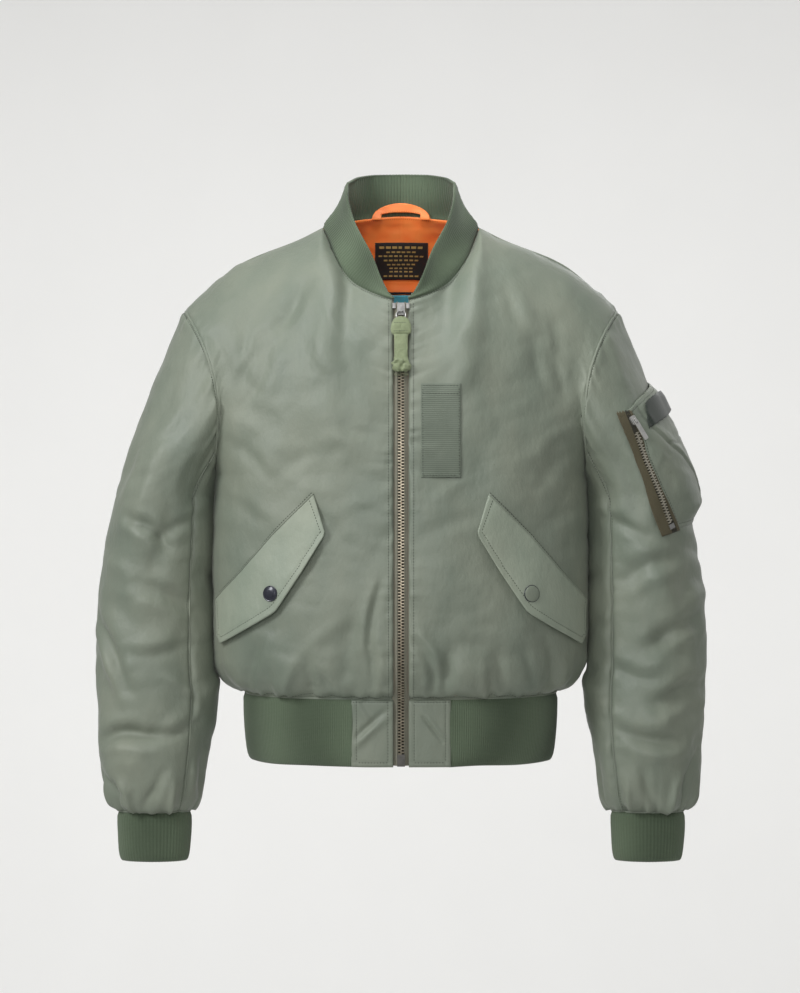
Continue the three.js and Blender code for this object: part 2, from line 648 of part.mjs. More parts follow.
for (const [name, side] of [['right', -1], ['left', 1]]) {
  const grid = sleeveGrid(side);
  const inward = normalsOf(grid, true).map((line, r) =>
    line.map((n, c) => {
      const p = grid[r][c];
      if (r === 0) return seamInward.armhole(p);
      if (r === grid.length - 1) return vec(side * 293 - p.x, -26 - p.y, 30).normalize();
      return n.multiplyScalar(-side);
    }),
  );
  sleeves[name] = { side, grid, inward };
  const columns = {
    sleeve_top: range(sleeveTurns.length).filter((c) => sleeveTurns[c] <= frontSeamTurn || sleeveTurns[c] >= backSeamTurn),
    sleeve_under: range(sleeveTurns.length).filter((c) => sleeveTurns[c] >= frontSeamTurn && sleeveTurns[c] <= backSeamTurn),
  };
  const firstTop = columns.sleeve_top.findIndex((c) => sleeveTurns[c] >= backSeamTurn);
  columns.sleeve_top = [...columns.sleeve_top.slice(firstTop), ...columns.sleeve_top.slice(0, firstTop)];
  for (const [piece, chosen] of Object.entries(columns)) {
    const ways = inward.map((line) => chosen.map((c) => line[c]));
    const cloth = trimmed(grid.map((line) => chosen.map((c) => line[c])), ways);
    add(piece + '_' + name, slab(cloth, moved(cloth, ways, wallThick)), 'shell');
  }

  // The cuff: a rib knit tube below the sleeve
  const cuffRows = [cuffSeam, -718, -738, cuffBottom];
  const narrowing = (height) => (cuffSeam - height) / (cuffSeam - cuffBottom);
  const cuffGrid = cuffRows.map((height) =>
    sleeveTurns.map((turn) => {
      const ring = sleeveRing(cuffSeam, turn, side);
      const shrink = 1 - 0.08 * narrowing(height);
      return vec(side * 293.5 + (ring.x - side * 293.5) * shrink, -26 + (ring.y + 26) * shrink, height);
    }),
  );
  const cuffInward = normalsOf(cuffGrid, true).map((line, r) =>
    line.map((n, c) => {
      const p = cuffGrid[r][c];
      return r === 0 ? vec(side * 293 - p.x, -26 - p.y, 30).normalize() : n.multiplyScalar(-side);
    }),
  );
  const cuffCloth = trimmed(cuffGrid, cuffInward, true);
  add('cuff_' + name, slab(cuffCloth, moved(cuffCloth, cuffInward, ribThick), true), 'knit');
}

// The front zip: two tapes set back from the panels' edges, the closed chain, its slider
// with a ring and a webbing pull, and the box at the hem
const zipRows = [...hemHeights.slice(0, -1).map((height) => ({ height })), ...bodyRows];
const zipGrid = (shares, rows = zipRows) =>
  rows.map((row) => shares.map((share) => bodyPoint(row, share, 1, false)));
const away = (grid, from, to) => {
  const ways = normalsOf(grid).map((line) => line.map((n) => (n.y > 0 ? n.negate() : n)));
  return slab(moved(grid, ways, to), moved(grid, ways, from));
};
for (const [name, side] of [['right', -1], ['left', 1]]) {
  const shares = [(zipChainHalf + 0.35) / frontSpread, (zipHalfWidth - 0.2) / frontSpread];
  const grid = zipGrid(shares).slice(0, -1).map((line) => line.map((p) => vec(side * p.x, p.y, p.z)));
  add('zip_tape_' + name, away(grid, -2.4, -1.2), 'tape');
}
const chainShares = [-zipChainHalf / frontSpread, zipChainHalf / frontSpread];
// The chain runs from above the box at the hem to just under the slider.
const chainRows = [{ height: -622.6 }, ...zipRows.slice(1, -2), { rise: 0.9 }];
add('zip_chain', away(zipGrid(chainShares, chainRows), -2.6, -0.2), 'brass');

// A frame on the front of the body at the centre: right, up and outward
const sliderSink = 0.85; // the slider straddles the chain
function centreFrame(low, high) {
  const foot = bodyPoint({ rise: low }, 0, 1, false);
  const head = bodyPoint({ rise: high }, 0, 1, false);
  const up = head.clone().sub(foot).normalize();
  const right = vec(1, 0, 0);
  const out = vec(0, 0, 0).crossVectors(right, up);
  return new THREE.Matrix4().makeBasis(right, up, out).setPosition(foot.addScaledVector(out, -sliderSink));
}
const place = (mesh, frame) => mesh.applyMatrix4(frame);
const rounded = (width, height, radius) => {
  const [w, h] = [width / 2, height / 2];
  const shape = new THREE.Shape();
  shape.moveTo(-w + radius, -h);
  shape.lineTo(w - radius, -h);
  shape.absarc(w - radius, -h + radius, radius, -Math.PI / 2, 0);
  shape.absarc(w - radius, h - radius, radius, 0, Math.PI / 2);
  shape.absarc(-w + radius, h - radius, radius, Math.PI / 2, Math.PI);
  shape.absarc(-w + radius, -h + radius, radius, Math.PI, Math.PI * 1.5);
  return shape;
};
const extruded = (shape, depth) =>
  new THREE.ExtrudeGeometry(shape, { depth, bevelEnabled: false, curveSegments: 4 });

// The slider stands on the chain's top end; its bail is a loop that the ring passes through.
const slider = { width: 9, height: 15, depth: 4.2, bailWidth: 2.2, bailHeight: 8, bailDepth: 4.6, wall: 1.2 };
const ring = { radius: 5.4, wire: 0.9 };
const pull = { width: 13, height: 62, depth: 3.4 };
function sliderSolid(size) {
  const plate = solidOf(extruded(rounded(size.width, size.height, 2), size.depth));
  const loop = rounded(size.bailHeight, size.bailDepth, 1.2);
  loop.holes.push(rounded(size.bailHeight - 2 * size.wall, size.bailDepth - 2 * size.wall, 0.4));
  const bail = extruded(loop, size.bailWidth);
  bail.rotateZ(Math.PI / 2);
  bail.rotateY(Math.PI / 2);
  bail.translate(-size.bailWidth / 2, -1, size.depth + size.bailDepth / 2 - 0.6);
  return geometryOf(plate.add(solidOf(bail)));
}
const sliderFrame = centreFrame(0.945, 0.97);
place(add('zip_slider', sliderSolid(slider), 'steel'), sliderFrame);
const ringDepth = slider.depth + slider.bailDepth / 2 - 0.6;
const ringMesh = add('pull_ring', new THREE.TorusGeometry(ring.radius, ring.wire, 8, 20), 'steel');
place(ringMesh, sliderFrame.clone().multiply(new THREE.Matrix4().makeTranslation(0, -1 - slider.bailHeight / 2 + slider.wall + 1.2 - ring.radius, ringDepth)));
const webbing = extruded(rounded(pull.width, pull.height, 1.2), pull.depth);
const pullTop = -1 - slider.bailHeight / 2 + slider.wall + 1.2 - 2 * ring.radius - ring.wire - 0.3;
webbing.translate(0, pullTop - pull.height / 2, ringDepth - pull.depth / 2);
place(add('pull_webbing', webbing, 'cord'), sliderFrame);
const boxMiddle = torsoPoint(hemBottom + 8, 0, 1, false);
const box = new THREE.BoxGeometry(9, 3.4, 14);
box.translate(0, boxMiddle.y - 1.1, boxMiddle.z);
add('zip_box', box, 'brass');

// Pieces sewn on a panel: a layer of the panel's own points moved out, cut to an outline
// that is drawn looking at the front in X and Z
const layerOf = (panel, low, high) => {
  const out = normalsOf(panel.grid).map((line) => line.map((n) => n.multiplyScalar(panel.side)));
  return solidOf(slab(moved(panel.grid, out, high), moved(panel.grid, out, low)));
};
function cutOut(layer, corners, depths) {
  const shape = new THREE.Shape(corners.map(([x, z]) => new THREE.Vector2(x, z)));
  const prism = new THREE.ExtrudeGeometry(shape, { depth: depths[1] - depths[0], bevelEnabled: false });
  prism.rotateX(Math.PI / 2);
  prism.translate(0, depths[1], 0);
  return geometryOf(layer.intersect(solidOf(prism)));
}
const circle = (x, z, radius) =>
  range(20).map((i) => [x + radius * Math.cos((i * Math.PI) / 10), z + radius * Math.sin((i * Math.PI) / 10)]);
const frontDepths = [-220, -60];

// Each pocket flap hangs from a slanted seam and stands off at its free lower corner.
const flapCorners = [
  [100.6, -323], [86.4, -367], [112, -412], [140.5, -457], [170, -480], [204, -494], [212, -488],
  [219, -448], [186, -414], [150, -372],
];
const flapSeam = { from: [100.6, -323], to: [219, -448] };
const flap = { thick: 2, free: 3.4, reach: 60 };
function flapLift(p) {
  const [dx, dz] = [flapSeam.to[0] - flapSeam.from[0], flapSeam.to[1] - flapSeam.from[1]];
  const far = ((flapSeam.from[1] - p.z) * dx - (flapSeam.from[0] - Math.abs(p.x)) * dz) / Math.hypot(dx, dz);
  return overlayGap + flap.free * smooth(far / flap.reach);
}
const snap = { x: 150.5, z: -438, radius: 8.6, thick: 2.6 };
for (const name of Object.keys(fronts)) {
  const { side } = fronts[name];
  const mirrored = (corners) => corners.map(([x, z]) => [side * x, z]);
  const lifted = (extra) => (p) => flapLift(p) + extra;
  const flapLayer = layerOf(fronts[name], lifted(0), lifted(flap.thick));
  add('pocket_flap_' + name, cutOut(flapLayer, mirrored(flapCorners), frontDepths), 'shell');
  const snapLow = flap.thick + overlayGap;
  const snapLayer = layerOf(fronts[name], lifted(snapLow), lifted(snapLow + snap.thick));
  const snapShape = circle(side * snap.x, snap.z, snap.radius);
  add('snap_' + name, cutOut(snapLayer, snapShape, frontDepths), 'snap');
}
const patchCorners = [[23, -304], [69, -304], [69, -196], [23, -196]];
const patchLayer = layerOf(fronts.left, overlayGap, overlayGap + 1.8);
add('chest_patch', cutOut(patchLayer, patchCorners, frontDepths), 'webbing');

// Inside the back of the neck: the lining where it shows, the label, a tab and a hanger loop
const liningRows = [6, 7, 8, 9, 10, 11].map((row) => armpitRow + row);
const liningCols = back.shares.map((s, c) => c).filter((c) => back.shares[c] <= 0.45);
const liningGrid = liningRows.map((r) => liningCols.map((c) => back.grid[r][c]));
const liningTop = liningCols.map((c) => back.grid[armpitRow + 11][c].clone().lerp(back.grid[armpitRow + 12][c], 0.3));
liningGrid.push(liningTop);
const inside = normalsOf(liningGrid).map((line) => line.map((n) => (n.y > 0 ? n.negate() : n)));
const clearOfSeam = (r) => (r === liningGrid.length - 1 ? 1.6 : 0.3); // the neck seam's wall leans in
const liningLayer = (low, high) =>
  slab(
    moved(liningGrid, inside, (p, r) => low + clearOfSeam(r)),
    moved(liningGrid, inside, (p, r) => high + clearOfSeam(r)),
  );
const lining = { low: wallThick + 0.5, high: wallThick + 1.7 };
add('lining_yoke', liningLayer(lining.low, lining.high), 'lining');
const onLining = (corners, thick) => {
  const low = lining.high + overlayGap;
  return cutOut(solidOf(liningLayer(low, low + thick)), corners, [20, 140]);
};
add('neck_label', onLining([[-32, -64], [32, -64], [32, -14], [-32, -14]], 1.1), 'label');
add('size_tab', onLining([[-16, -82], [16, -82], [16, -64.4], [-16, -64.4]], 1), 'tab');
const loop = { halfWidth: 33, rise: 15, width: 8, thick: 1.6, foot: 6, footY: 65 };
const loopPath = new THREE.CatmullRomCurve3([
  vec(-loop.halfWidth, loop.footY - 5, loop.foot),
  vec(-loop.halfWidth * 0.86, loop.footY - 3, loop.foot + loop.rise * 0.75),
  vec(-loop.halfWidth * 0.45, loop.footY - 1.4, loop.foot + loop.rise),
  vec(0, loop.footY - 1, loop.foot + loop.rise * 1.05),
  vec(loop.halfWidth * 0.45, loop.footY - 1.4, loop.foot + loop.rise),
  vec(loop.halfWidth * 0.86, loop.footY - 3, loop.foot + loop.rise * 0.75),
  vec(loop.halfWidth, loop.footY - 5, loop.foot),
]);
const loopSection = rounded(loop.thick, loop.width, 0.5);
add('hanger_loop', new THREE.ExtrudeGeometry(loopSection, { steps: 20, extrudePath: loopPath, curveSegments: 1 }), 'lining');

// The zipped pocket on the wearer's left sleeve, laid out by turn and height
const sleeveSpot = (side, turn, height) => {
  const { grid, inward } = sleeves[side > 0 ? 'left' : 'right'];
  const cols = sleeveTurns.length;
  const at = (((turn / 15) % cols) + cols) % cols;
  const [c, f] = [Math.floor(at), at - Math.floor(at)];
  const line = (r, source) => source[r][c].clone().lerp(source[r][(c + 1) % cols], f);
  const below = range(grid.length - 1).find((r) => r > 0 && line(r, grid).z <= height);
  const [upper, lower] = [line(below - 1, grid), line(below, grid)];
  const t = (upper.z - height) / (upper.z - lower.z);
  return {
    point: upper.lerp(lower, t),
    out: line(below - 1, inward).lerp(line(below, inward), t).negate().normalize(),
  };
};
// A patch between two edges, each given by its turn and height at the top and at the bottom
function sleevePatch({ front, rear, across, down }, low, high) {
  const spots = range(down + 1).map((i) =>
    range(across + 1).map((j) => {
      const [u, v] = [j / across, i / down];
      const turn = mix(mix(front.turn[0], front.turn[1], v), mix(rear.turn[0], rear.turn[1], v), u);
      const bow = 1 - (1 - u) ** 2;
      const top = mix(front.height[0], rear.height[0], bow);
      return { u, v, ...sleeveSpot(1, turn, mix(top, mix(front.height[1], rear.height[1], u), v)) };
    }),
  );
  const at = (lift) => spots.map((line) => line.map((s) => s.point.clone().addScaledVector(s.out, lift(s.u, s.v))));
  return slab(at(high), at(low));
}
const pocketBag = {
  front: { turn: [58, 51], height: [-222, -364] },
  rear: { turn: [-32, -32], height: [-186, -350] },
  across: 10,
  down: 8,
};
const puff = (u, v) => 11 * smooth(u / 0.4) * smooth((1 - u) / 0.25) * smooth((v + 0.04) / 0.14) * smooth((1 - v) / 0.4);
const bagLow = 0.6;
const bagThick = 2.4;
add(
  'sleeve_pocket',
  sleevePatch(pocketBag, (u, v) => bagLow + puff(u, v), (u, v) => bagLow + bagThick + puff(u, v)),
  'shell',
);
const zipTapeArea = {
  front: { turn: [73.5, 75], height: [-226, -374] },
  rear: { turn: [60, 53], height: [-222, -367] },
  across: 4,
  down: 10,
};
const tapeLow = bagLow + 0.8;
add('sleeve_tape', sleevePatch(zipTapeArea, () => tapeLow, () => tapeLow + 1.1), 'tape');
const sleeveChainArea = {
  front: { turn: [68, 66], height: [-246, -360] },
  rear: { turn: [64.6, 62.6], height: [-245, -359] },
  across: 1,
  down: 8,
};
const chainLow = tapeLow + 1.4;
add('sleeve_chain', sleevePatch(sleeveChainArea, () => chainLow, () => chainLow + 1.8), 'brass');
const penSlot = {
  front: { turn: [33, 31], height: [-214, -250] },
  rear: { turn: [6, 6], height: [-204, -246] },
  across: 3,
  down: 3,
};
const penLow = bagLow + bagThick + 11.4;
add('pen_tab', sleevePatch(penSlot, () => penLow, () => penLow + 1.2), 'penTab');

const tabPull = { width: 6, height: 26, depth: 1.3, eye: 2.6, eyeHeight: 3 };
const sleeveSlider = { width: 7.5, height: 11, depth: 3, bailWidth: 1.8, bailHeight: 6, bailDepth: 4, wall: 1 };
const sliderSpot = sleeveSpot(1, 66.6, -238);
const sliderLow = sleeveSpot(1, 66.1, -262);
const sleeveUp = sliderSpot.point.clone().sub(sliderLow.point).normalize();
const sleeveRight = vec(0, 0, 0).crossVectors(sleeveUp, sliderSpot.out).normalize();
const sleeveOut = vec(0, 0, 0).crossVectors(sleeveRight, sleeveUp);
const sleeveFrame = new THREE.Matrix4()
  .makeBasis(sleeveRight, sleeveUp, sleeveOut)
  .setPosition(sliderSpot.point.clone().addScaledVector(sliderSpot.out, chainLow + 0.3));
place(add('sleeve_slider', sliderSolid(sleeveSlider), 'steel'), sleeveFrame);
const eyeMiddle = -1 - sleeveSlider.bailHeight / 2 + sleeveSlider.wall / 2;
const tabShape = rounded(tabPull.width, tabPull.height, 1.6);
const eye = rounded(tabPull.eye, tabPull.eyeHeight, 0.5).getPoints(3);
const eyeDrop = tabPull.height / 2 - 1.2 - tabPull.eyeHeight / 2;
tabShape.holes.push(new THREE.Path(eye.map((p) => new THREE.Vector2(p.x, p.y + eyeDrop))));
const tab = extruded(tabShape, tabPull.depth);
tab.translate(
  0,
  eyeMiddle - eyeDrop,
  sleeveSlider.depth + sleeveSlider.bailDepth / 2 - 0.6 - tabPull.depth / 2,
);
place(add('sleeve_pull_tab', tab, 'steel'), sleeveFrame);

export default jacket;
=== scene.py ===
# Bomber jacket, filled out as worn: satin nylon shell, rib knit trims, brass zips, orange lining.
import math
import random

import bpy
import numpy as np
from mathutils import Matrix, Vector
from mathutils.bvhtree import BVHTree


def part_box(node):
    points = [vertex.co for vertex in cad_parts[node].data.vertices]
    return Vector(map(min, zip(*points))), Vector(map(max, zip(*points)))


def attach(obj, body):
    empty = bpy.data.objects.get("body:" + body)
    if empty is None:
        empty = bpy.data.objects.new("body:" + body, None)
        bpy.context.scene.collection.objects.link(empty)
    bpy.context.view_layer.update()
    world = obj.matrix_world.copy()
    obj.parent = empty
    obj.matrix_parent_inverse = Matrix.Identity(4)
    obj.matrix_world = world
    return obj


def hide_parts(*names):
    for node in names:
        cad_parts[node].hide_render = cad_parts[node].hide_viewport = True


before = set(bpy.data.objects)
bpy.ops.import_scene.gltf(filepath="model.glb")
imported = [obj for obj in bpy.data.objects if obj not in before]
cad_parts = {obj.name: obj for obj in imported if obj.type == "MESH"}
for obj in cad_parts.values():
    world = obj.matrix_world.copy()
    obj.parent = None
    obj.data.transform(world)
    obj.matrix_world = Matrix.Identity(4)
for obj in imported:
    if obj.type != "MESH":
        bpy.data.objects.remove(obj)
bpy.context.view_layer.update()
mm = 0.001

# Camera
cameraSetup = {"distance": 3.2, "height": -0.326, "side": -0.0012, "mmPerPixel": 1.2, "width": 800}
lookCamera = bpy.data.cameras.new("camera")
lookCamera.sensor_width = 36
lookCamera.lens = 36 * cameraSetup["distance"] * 1000 / (cameraSetup["mmPerPixel"] * cameraSetup["width"])
lookCamera.sensor_fit = "HORIZONTAL"
cameraObject = bpy.data.objects.new("camera", lookCamera)
cameraObject.location = (cameraSetup["side"], -cameraSetup["distance"], cameraSetup["height"])
cameraObject.rotation_euler = (math.pi / 2, 0, 0)
bpy.context.scene.collection.objects.link(cameraObject)
bpy.context.scene.camera = cameraObject


# Body and sleeves as formulas, in millimetres, the same forms as the solids
def smooth(t):
    t = np.clip(t, 0, 1)
    return t * t * (3 - 2 * t)


def mix(a, b, t):
    return a + (b - a) * t


def bell(away, width):
    return np.exp(-((away / width) ** 2))


def hermite(start, leave, end, arrive, t):
    return (
        start * (2 * t**3 - 3 * t**2 + 1)
        + leave * (t**3 - 2 * t**2 + t)
        + end * (3 * t**2 - 2 * t**3)
        + arrive * (t**3 - t**2)
    )


def unit(v):
    return v / np.maximum(np.linalg.norm(v, axis=-1, keepdims=True), 1e-9)


def vec(x, y, z):
    return np.stack(np.broadcast_arrays(x, y, z), -1).astype(float)


def curveTable(rows):
    rows = np.array(rows, float)
    keys, values = rows[:, 0], rows[:, 1:]
    slope = np.diff(values, axis=0) / np.diff(keys)[:, None]
    tangent = np.vstack([slope[:1], np.zeros((len(rows) - 2, values.shape[1])), slope[-1:]])
    before, after = slope[:-1], slope[1:]
    total = before + after
    safe = np.where(np.abs(total) < 1e-12, 1, total)
    tangent[1:-1] = np.where(before * after <= 0, 0, 2 * before * after / safe)

    def at(key):
        key = np.clip(np.asarray(key, float), keys[0], keys[-1])
        low = np.clip(np.searchsorted(keys, key, side="right") - 1, 0, len(keys) - 2)
        span = (keys[low + 1] - keys[low])[..., None]
        t = (key - keys[low])[..., None] / span
        found = hermite(values[low], tangent[low] * span, values[low + 1], tangent[low + 1] * span, t)
        return [found[..., k] for k in range(values.shape[1])]

    return at


form = {
    "hemSeam": -560, "armpit": -300, "frontSpread": 300, "squareness": 2.35,
    "shoulderTip": (260, 12, -103), "armholeFront": 88, "armholeBack": 92,
    "frontNeckShare": 0.36, "backNeckShare": 0.34, "zipHalfWidth": 8.8, "hemTabHalf": 56.1,
    "bicep": -330, "cuffSeam": -700, "cuffBottom": -758,
}
torsoSection = curveTable([
    (-638, 182, 128, 121), (-600, 185, 130, 123), (-560, 187, 131, 124), (-551, 202, 140, 133),
    (-538, 214, 146, 139), (-518, 222, 150, 143), (-480, 225, 151, 143), (-430, 225, 149, 141),
    (-370, 224, 144, 136), (-300, 222, 139, 130),
])
frontNeck = curveTable([
    (0, 0, -101, -98), (0.13, 14, -99, -95), (0.48, 51.6, -73, -78), (0.76, 78, -36, -43), (1, 94, 8, -2),
])
backNeck = curveTable([(0, 0, 75, 16), (0.5, 45, 68, 14), (0.82, 78, 44, 8), (1, 94, 8, -2)])
shoulderSeam = curveTable([
    (0, 94, 8, -2), (0.18, 122, 10, -16), (0.6, 193, 12, -45), (0.88, 241, 12, -84), (1, 260, 12, -103),
])
collarFront = curveTable([
    (0.1, 13.5, -97, -90), (0.3, 24, -90, -70), (0.52, 37, -71, -37), (0.76, 58, -39, 8), (0.9, 65, -8, 40),
    (1, 65, 18, 54),
])
collarBack = curveTable([(0, 0, 68, 69), (0.5, 32, 64, 68), (0.82, 54, 45, 63), (1, 65, 18, 54)])
sleeveSection = curveTable([
    (-700, 250, 337, -26, 27), (-692, 243, 346, -26, 40), (-680, 238, 352, -25, 48), (-654, 234, 356, -23, 55),
    (-594, 227, 361, -18, 61), (-558, 226, 363, -14, 64), (-522, 228.5, 365, -10, 68), (-450, 228.5, 364, -2, 76),
    (-390, 228, 355, 4, 84), (-330, 227, 343, 8, 90),
])


def torsoPoint(height, share, side, isBack):
    halfWidth, front, back = torsoSection(height)
    deep = back if isBack else front
    spread = form["frontSpread"] / halfWidth
    eccentric = share * spread * (1 - share**2) + (math.pi / 2) * share**3
    angle = np.arctan2(halfWidth * np.sin(eccentric), deep * np.cos(eccentric))
    power = form["squareness"]
    reach = (np.abs(np.cos(angle) / deep) ** power + np.abs(np.sin(angle) / halfWidth) ** power) ** (-1 / power)
    return vec(side * reach * np.sin(angle), (1 if isBack else -1) * reach * np.cos(angle), height)


def armholePoint(angle, side):
    top = (1 + np.cos(angle)) / 2
    turn = np.sin(angle)
    depth = np.where(turn > 0, form["armholeFront"], form["armholeBack"])
    scoop = np.where(turn > 0, 12, 7)
    width = 222
    tipX, tipY, tipZ = form["shoulderTip"]
    x = mix(width, tipX, top**2.5) - scoop * turn * turn
    return vec(side * x, tipY * top - depth * turn, mix(form["armpit"], tipZ, top))


def arc(start, leave, end, arrive, t):
    chord = np.linalg.norm(end - start, axis=-1, keepdims=True)
    return hermite(start, leave * chord, end, arrive * chord, np.asarray(t, float)[..., None])


def topEdge(share, side, isBack):
    neckShare = form["backNeckShare"] if isBack else form["frontNeckShare"]
    neck = (backNeck if isBack else frontNeck)(share / neckShare)
    shoulder = shoulderSeam((share - neckShare) / (1 - neckShare))
    x, y, z = [np.where(share <= neckShare, a, b) for a, b in zip(neck, shoulder)]
    return vec(side * x, y, z)


def arrival(share, isBack):
    over = smooth(share / (form["backNeckShare"] if isBack else form["frontNeckShare"]))
    way = -1 if isBack else 1
    return unit(vec(0 * share, way * mix(0.3 if isBack else 0.22, 0.97, over), mix(0.95, 0.22, over)))


def upperPoint(rise, share, side, isBack):
    def straight(s):
        start = torsoPoint(np.full_like(s, form["armpit"]), s, side, isBack)
        return arc(start, np.array([0, 0, 1.0]), topEdge(s, side, isBack), arrival(s, isBack), rise)

    point = straight(share)
    pull = np.clip((share - 0.4) / 0.6, 0, 1) ** 2.2
    angle = math.pi * (1 - rise) * (-1 if isBack else 1)
    return point + (armholePoint(angle, side) - straight(np.ones_like(share))) * pull[..., None]


def bodySurface(level, share, side, isBack):
    height = np.minimum(form["armpit"], level)
    rise = np.clip((level - form["armpit"]) / 300, 0, 1)
    low = torsoPoint(height, share, side, isBack)
    high = upperPoint(rise, share, side, isBack)
    return np.where((level <= form["armpit"])[..., None], low, high)


def sleeveRing(height, turn, side):
    inner, outer, middle, halfDepth = sleeveSection(height)
    angle = np.radians(turn)
    x = (inner + outer) / 2 + (outer - inner) / 2 * np.cos(angle)
    return vec(side * x, middle - halfDepth * np.sin(angle), height)


def capPoint(share, turn, side):
    angle = np.radians(turn)
    start = armholePoint(angle, side)
    end = sleeveRing(np.full_like(share, form["bicep"]), turn, side)
    out = (1 + np.cos(angle)) / 2
    clear = mix(0.1, 0.4, smooth((np.abs(turn - 180) - 4) / 30))
    leave = unit(vec(side * clear, -0.12 * np.sin(angle), -1))
    arrive = unit(vec(side * mix(0, 0.22, out), 0, -1))
    return arc(start, leave, end, arrive, share)


def sleeveSurface(level, turn, side):
    turn = np.mod(turn, 360)
    share = np.clip(level, 0, 1)
    low = sleeveRing(form["bicep"] - np.maximum(level - 1, 0), turn, side)
    high = capPoint(share, turn, side)
    return np.where((level > 1)[..., None], low, high)


print("forms ready")


# Folds and wrinkles
# Soft folds that the solids also have: girth from the centre front, height, length, width,
# depth, lean from upright, side (-1 right, 1 left, 0 both), in millimetres and degrees
bodyFolds = [
    (62, -170, 120, 15, -4, 4, -1), (92, -150, 110, 18, 4, -8, -1), (140, -135, 110, 17, -3.5, -24, -1),
    (205, -170, 90, 14, -3, 12, -1), (120, -285, 120, 20, -3, -30, -1), (60, -500, 120, 12, -5, -7, -1),
    (95, -520, 60, 14, 3, -20, -1), (75, -150, 120, 16, 4, -6, 1), (50, -190, 120, 14, -3, -14, 1),
    (150, -160, 120, 18, 3.5, 20, 1), (205, -180, 90, 14, -3, -8, 1), (110, -330, 130, 20, 2.5, 20, 1),
    (56, -520, 70, 12, -4, 14, 1), (120, -420, 130, 20, -2.5, -6, 1), (400, -260, 160, 20, -4, 10, 0),
    (470, -330, 150, 22, 3.5, -14, -1), (520, -200, 140, 20, -3.5, 12, 1), (440, -450, 120, 18, -4, 22, 1),
    (530, -420, 140, 20, 3, -8, -1), (360, -500, 100, 16, -4, -16, 0),
]
sleeveFolds = [
    (40, -260, 150, 17, -5, 78, -1), (75, -300, 150, 15, 4, 84, -1), (100, -380, 130, 15, -5, 78, -1),
    (55, -455, 80, 14, -4, -28, -1), (95, -500, 80, 14, 4, 12, -1), (35, -545, 80, 15, -5, -45, -1),
    (80, -600, 95, 14, -6, 10, -1), (60, -640, 90, 13, 4, 18, -1), (60, -250, 120, 16, 4, 82, 1),
    (105, -300, 130, 15, -5, 80, 1), (85, -420, 100, 15, 4, 60, 1), (70, -500, 90, 15, -5, 28, 1),
    (50, -570, 90, 14, -5, 14, 1), (85, -585, 60, 13, 4, 8, 1), (40, -630, 80, 14, -4, -35, 1),
    (-60, -480, 110, 16, -5, 20, 0), (-80, -560, 90, 15, 4, -14, 0), (-45, -290, 130, 18, -4, 80, 0),
    (-95, -620, 80, 14, -5, 12, 0),
]
hemGathers = {"count": 19, "depth": 3.2, "reach": 70}
cuffGathers = {"count": 7, "depth": 4, "reach": 50}


def foldShape(aside, upward, lean, length, width, depth):
    turn = math.radians(lean)
    across = aside * math.cos(turn) - upward * math.sin(turn)
    along = aside * math.sin(turn) + upward * math.cos(turn)
    end = np.clip(1 - np.abs(along) / (length / 2), 0, 1)
    return depth * bell(across, width) * smooth(end * 1.4)


def bodyRelief(girth, height, side):
    out = np.zeros_like(girth)
    for atGirth, atHeight, length, width, depth, lean, onSide in bodyFolds:
        if onSide in (0, side):
            out += foldShape(girth - atGirth, height - atHeight, lean, length, width, depth)
    above = height - form["hemSeam"]
    phase = girth / (2 * form["frontSpread"]) * hemGathers["count"] * math.pi + 0.9 * np.sin(girth / 47 + side)
    fade = smooth(above / 14) * smooth(1 - above / hemGathers["reach"])
    return out + hemGathers["depth"] * np.sin(phase) * fade


def sleeveRelief(turn, height, side):
    out = np.zeros_like(turn)
    for atTurn, atHeight, length, width, depth, lean, onSide in sleeveFolds:
        if onSide in (0, side):
            around = np.radians(np.mod(turn - atTurn + 180, 360) - 180) * 75
            out += foldShape(height - atHeight, around, lean, length, width, depth)
    above = height - form["cuffSeam"]
    angle = np.radians(turn)
    phase = cuffGathers["count"] * angle + 0.8 * np.sin(2 * angle + side)
    return out + cuffGathers["depth"] * np.sin(phase) * smooth(above / 12) * smooth(1 - above / cuffGathers["reach"])


def crumple(u, v, seed, size, lean, stretch):
    turn = math.radians(lean)
    a = (u * math.cos(turn) + v * math.sin(turn)) * stretch
    b = -u * math.sin(turn) + v * math.cos(turn)
    return np.abs(softNoise(a + 3000, b + 3000, seed, size)) - 0.3


def lattice(seed):
    return np.random.default_rng(seed).uniform(-1, 1, (64, 64))


def softNoise(u, v, seed, size):
    grid = lattice(seed)
    x, y = np.asarray(u) / size, np.asarray(v) / size
    i, j = np.floor(x).astype(int), np.floor(y).astype(int)
    fx, fy = smooth(x - i), smooth(y - j)
    i, j, i1, j1 = i % 64, j % 64, (i + 1) % 64, (j + 1) % 64
    return mix(mix(grid[i, j], grid[i1, j], fx), mix(grid[i, j1], grid[i1, j1], fx), fy)


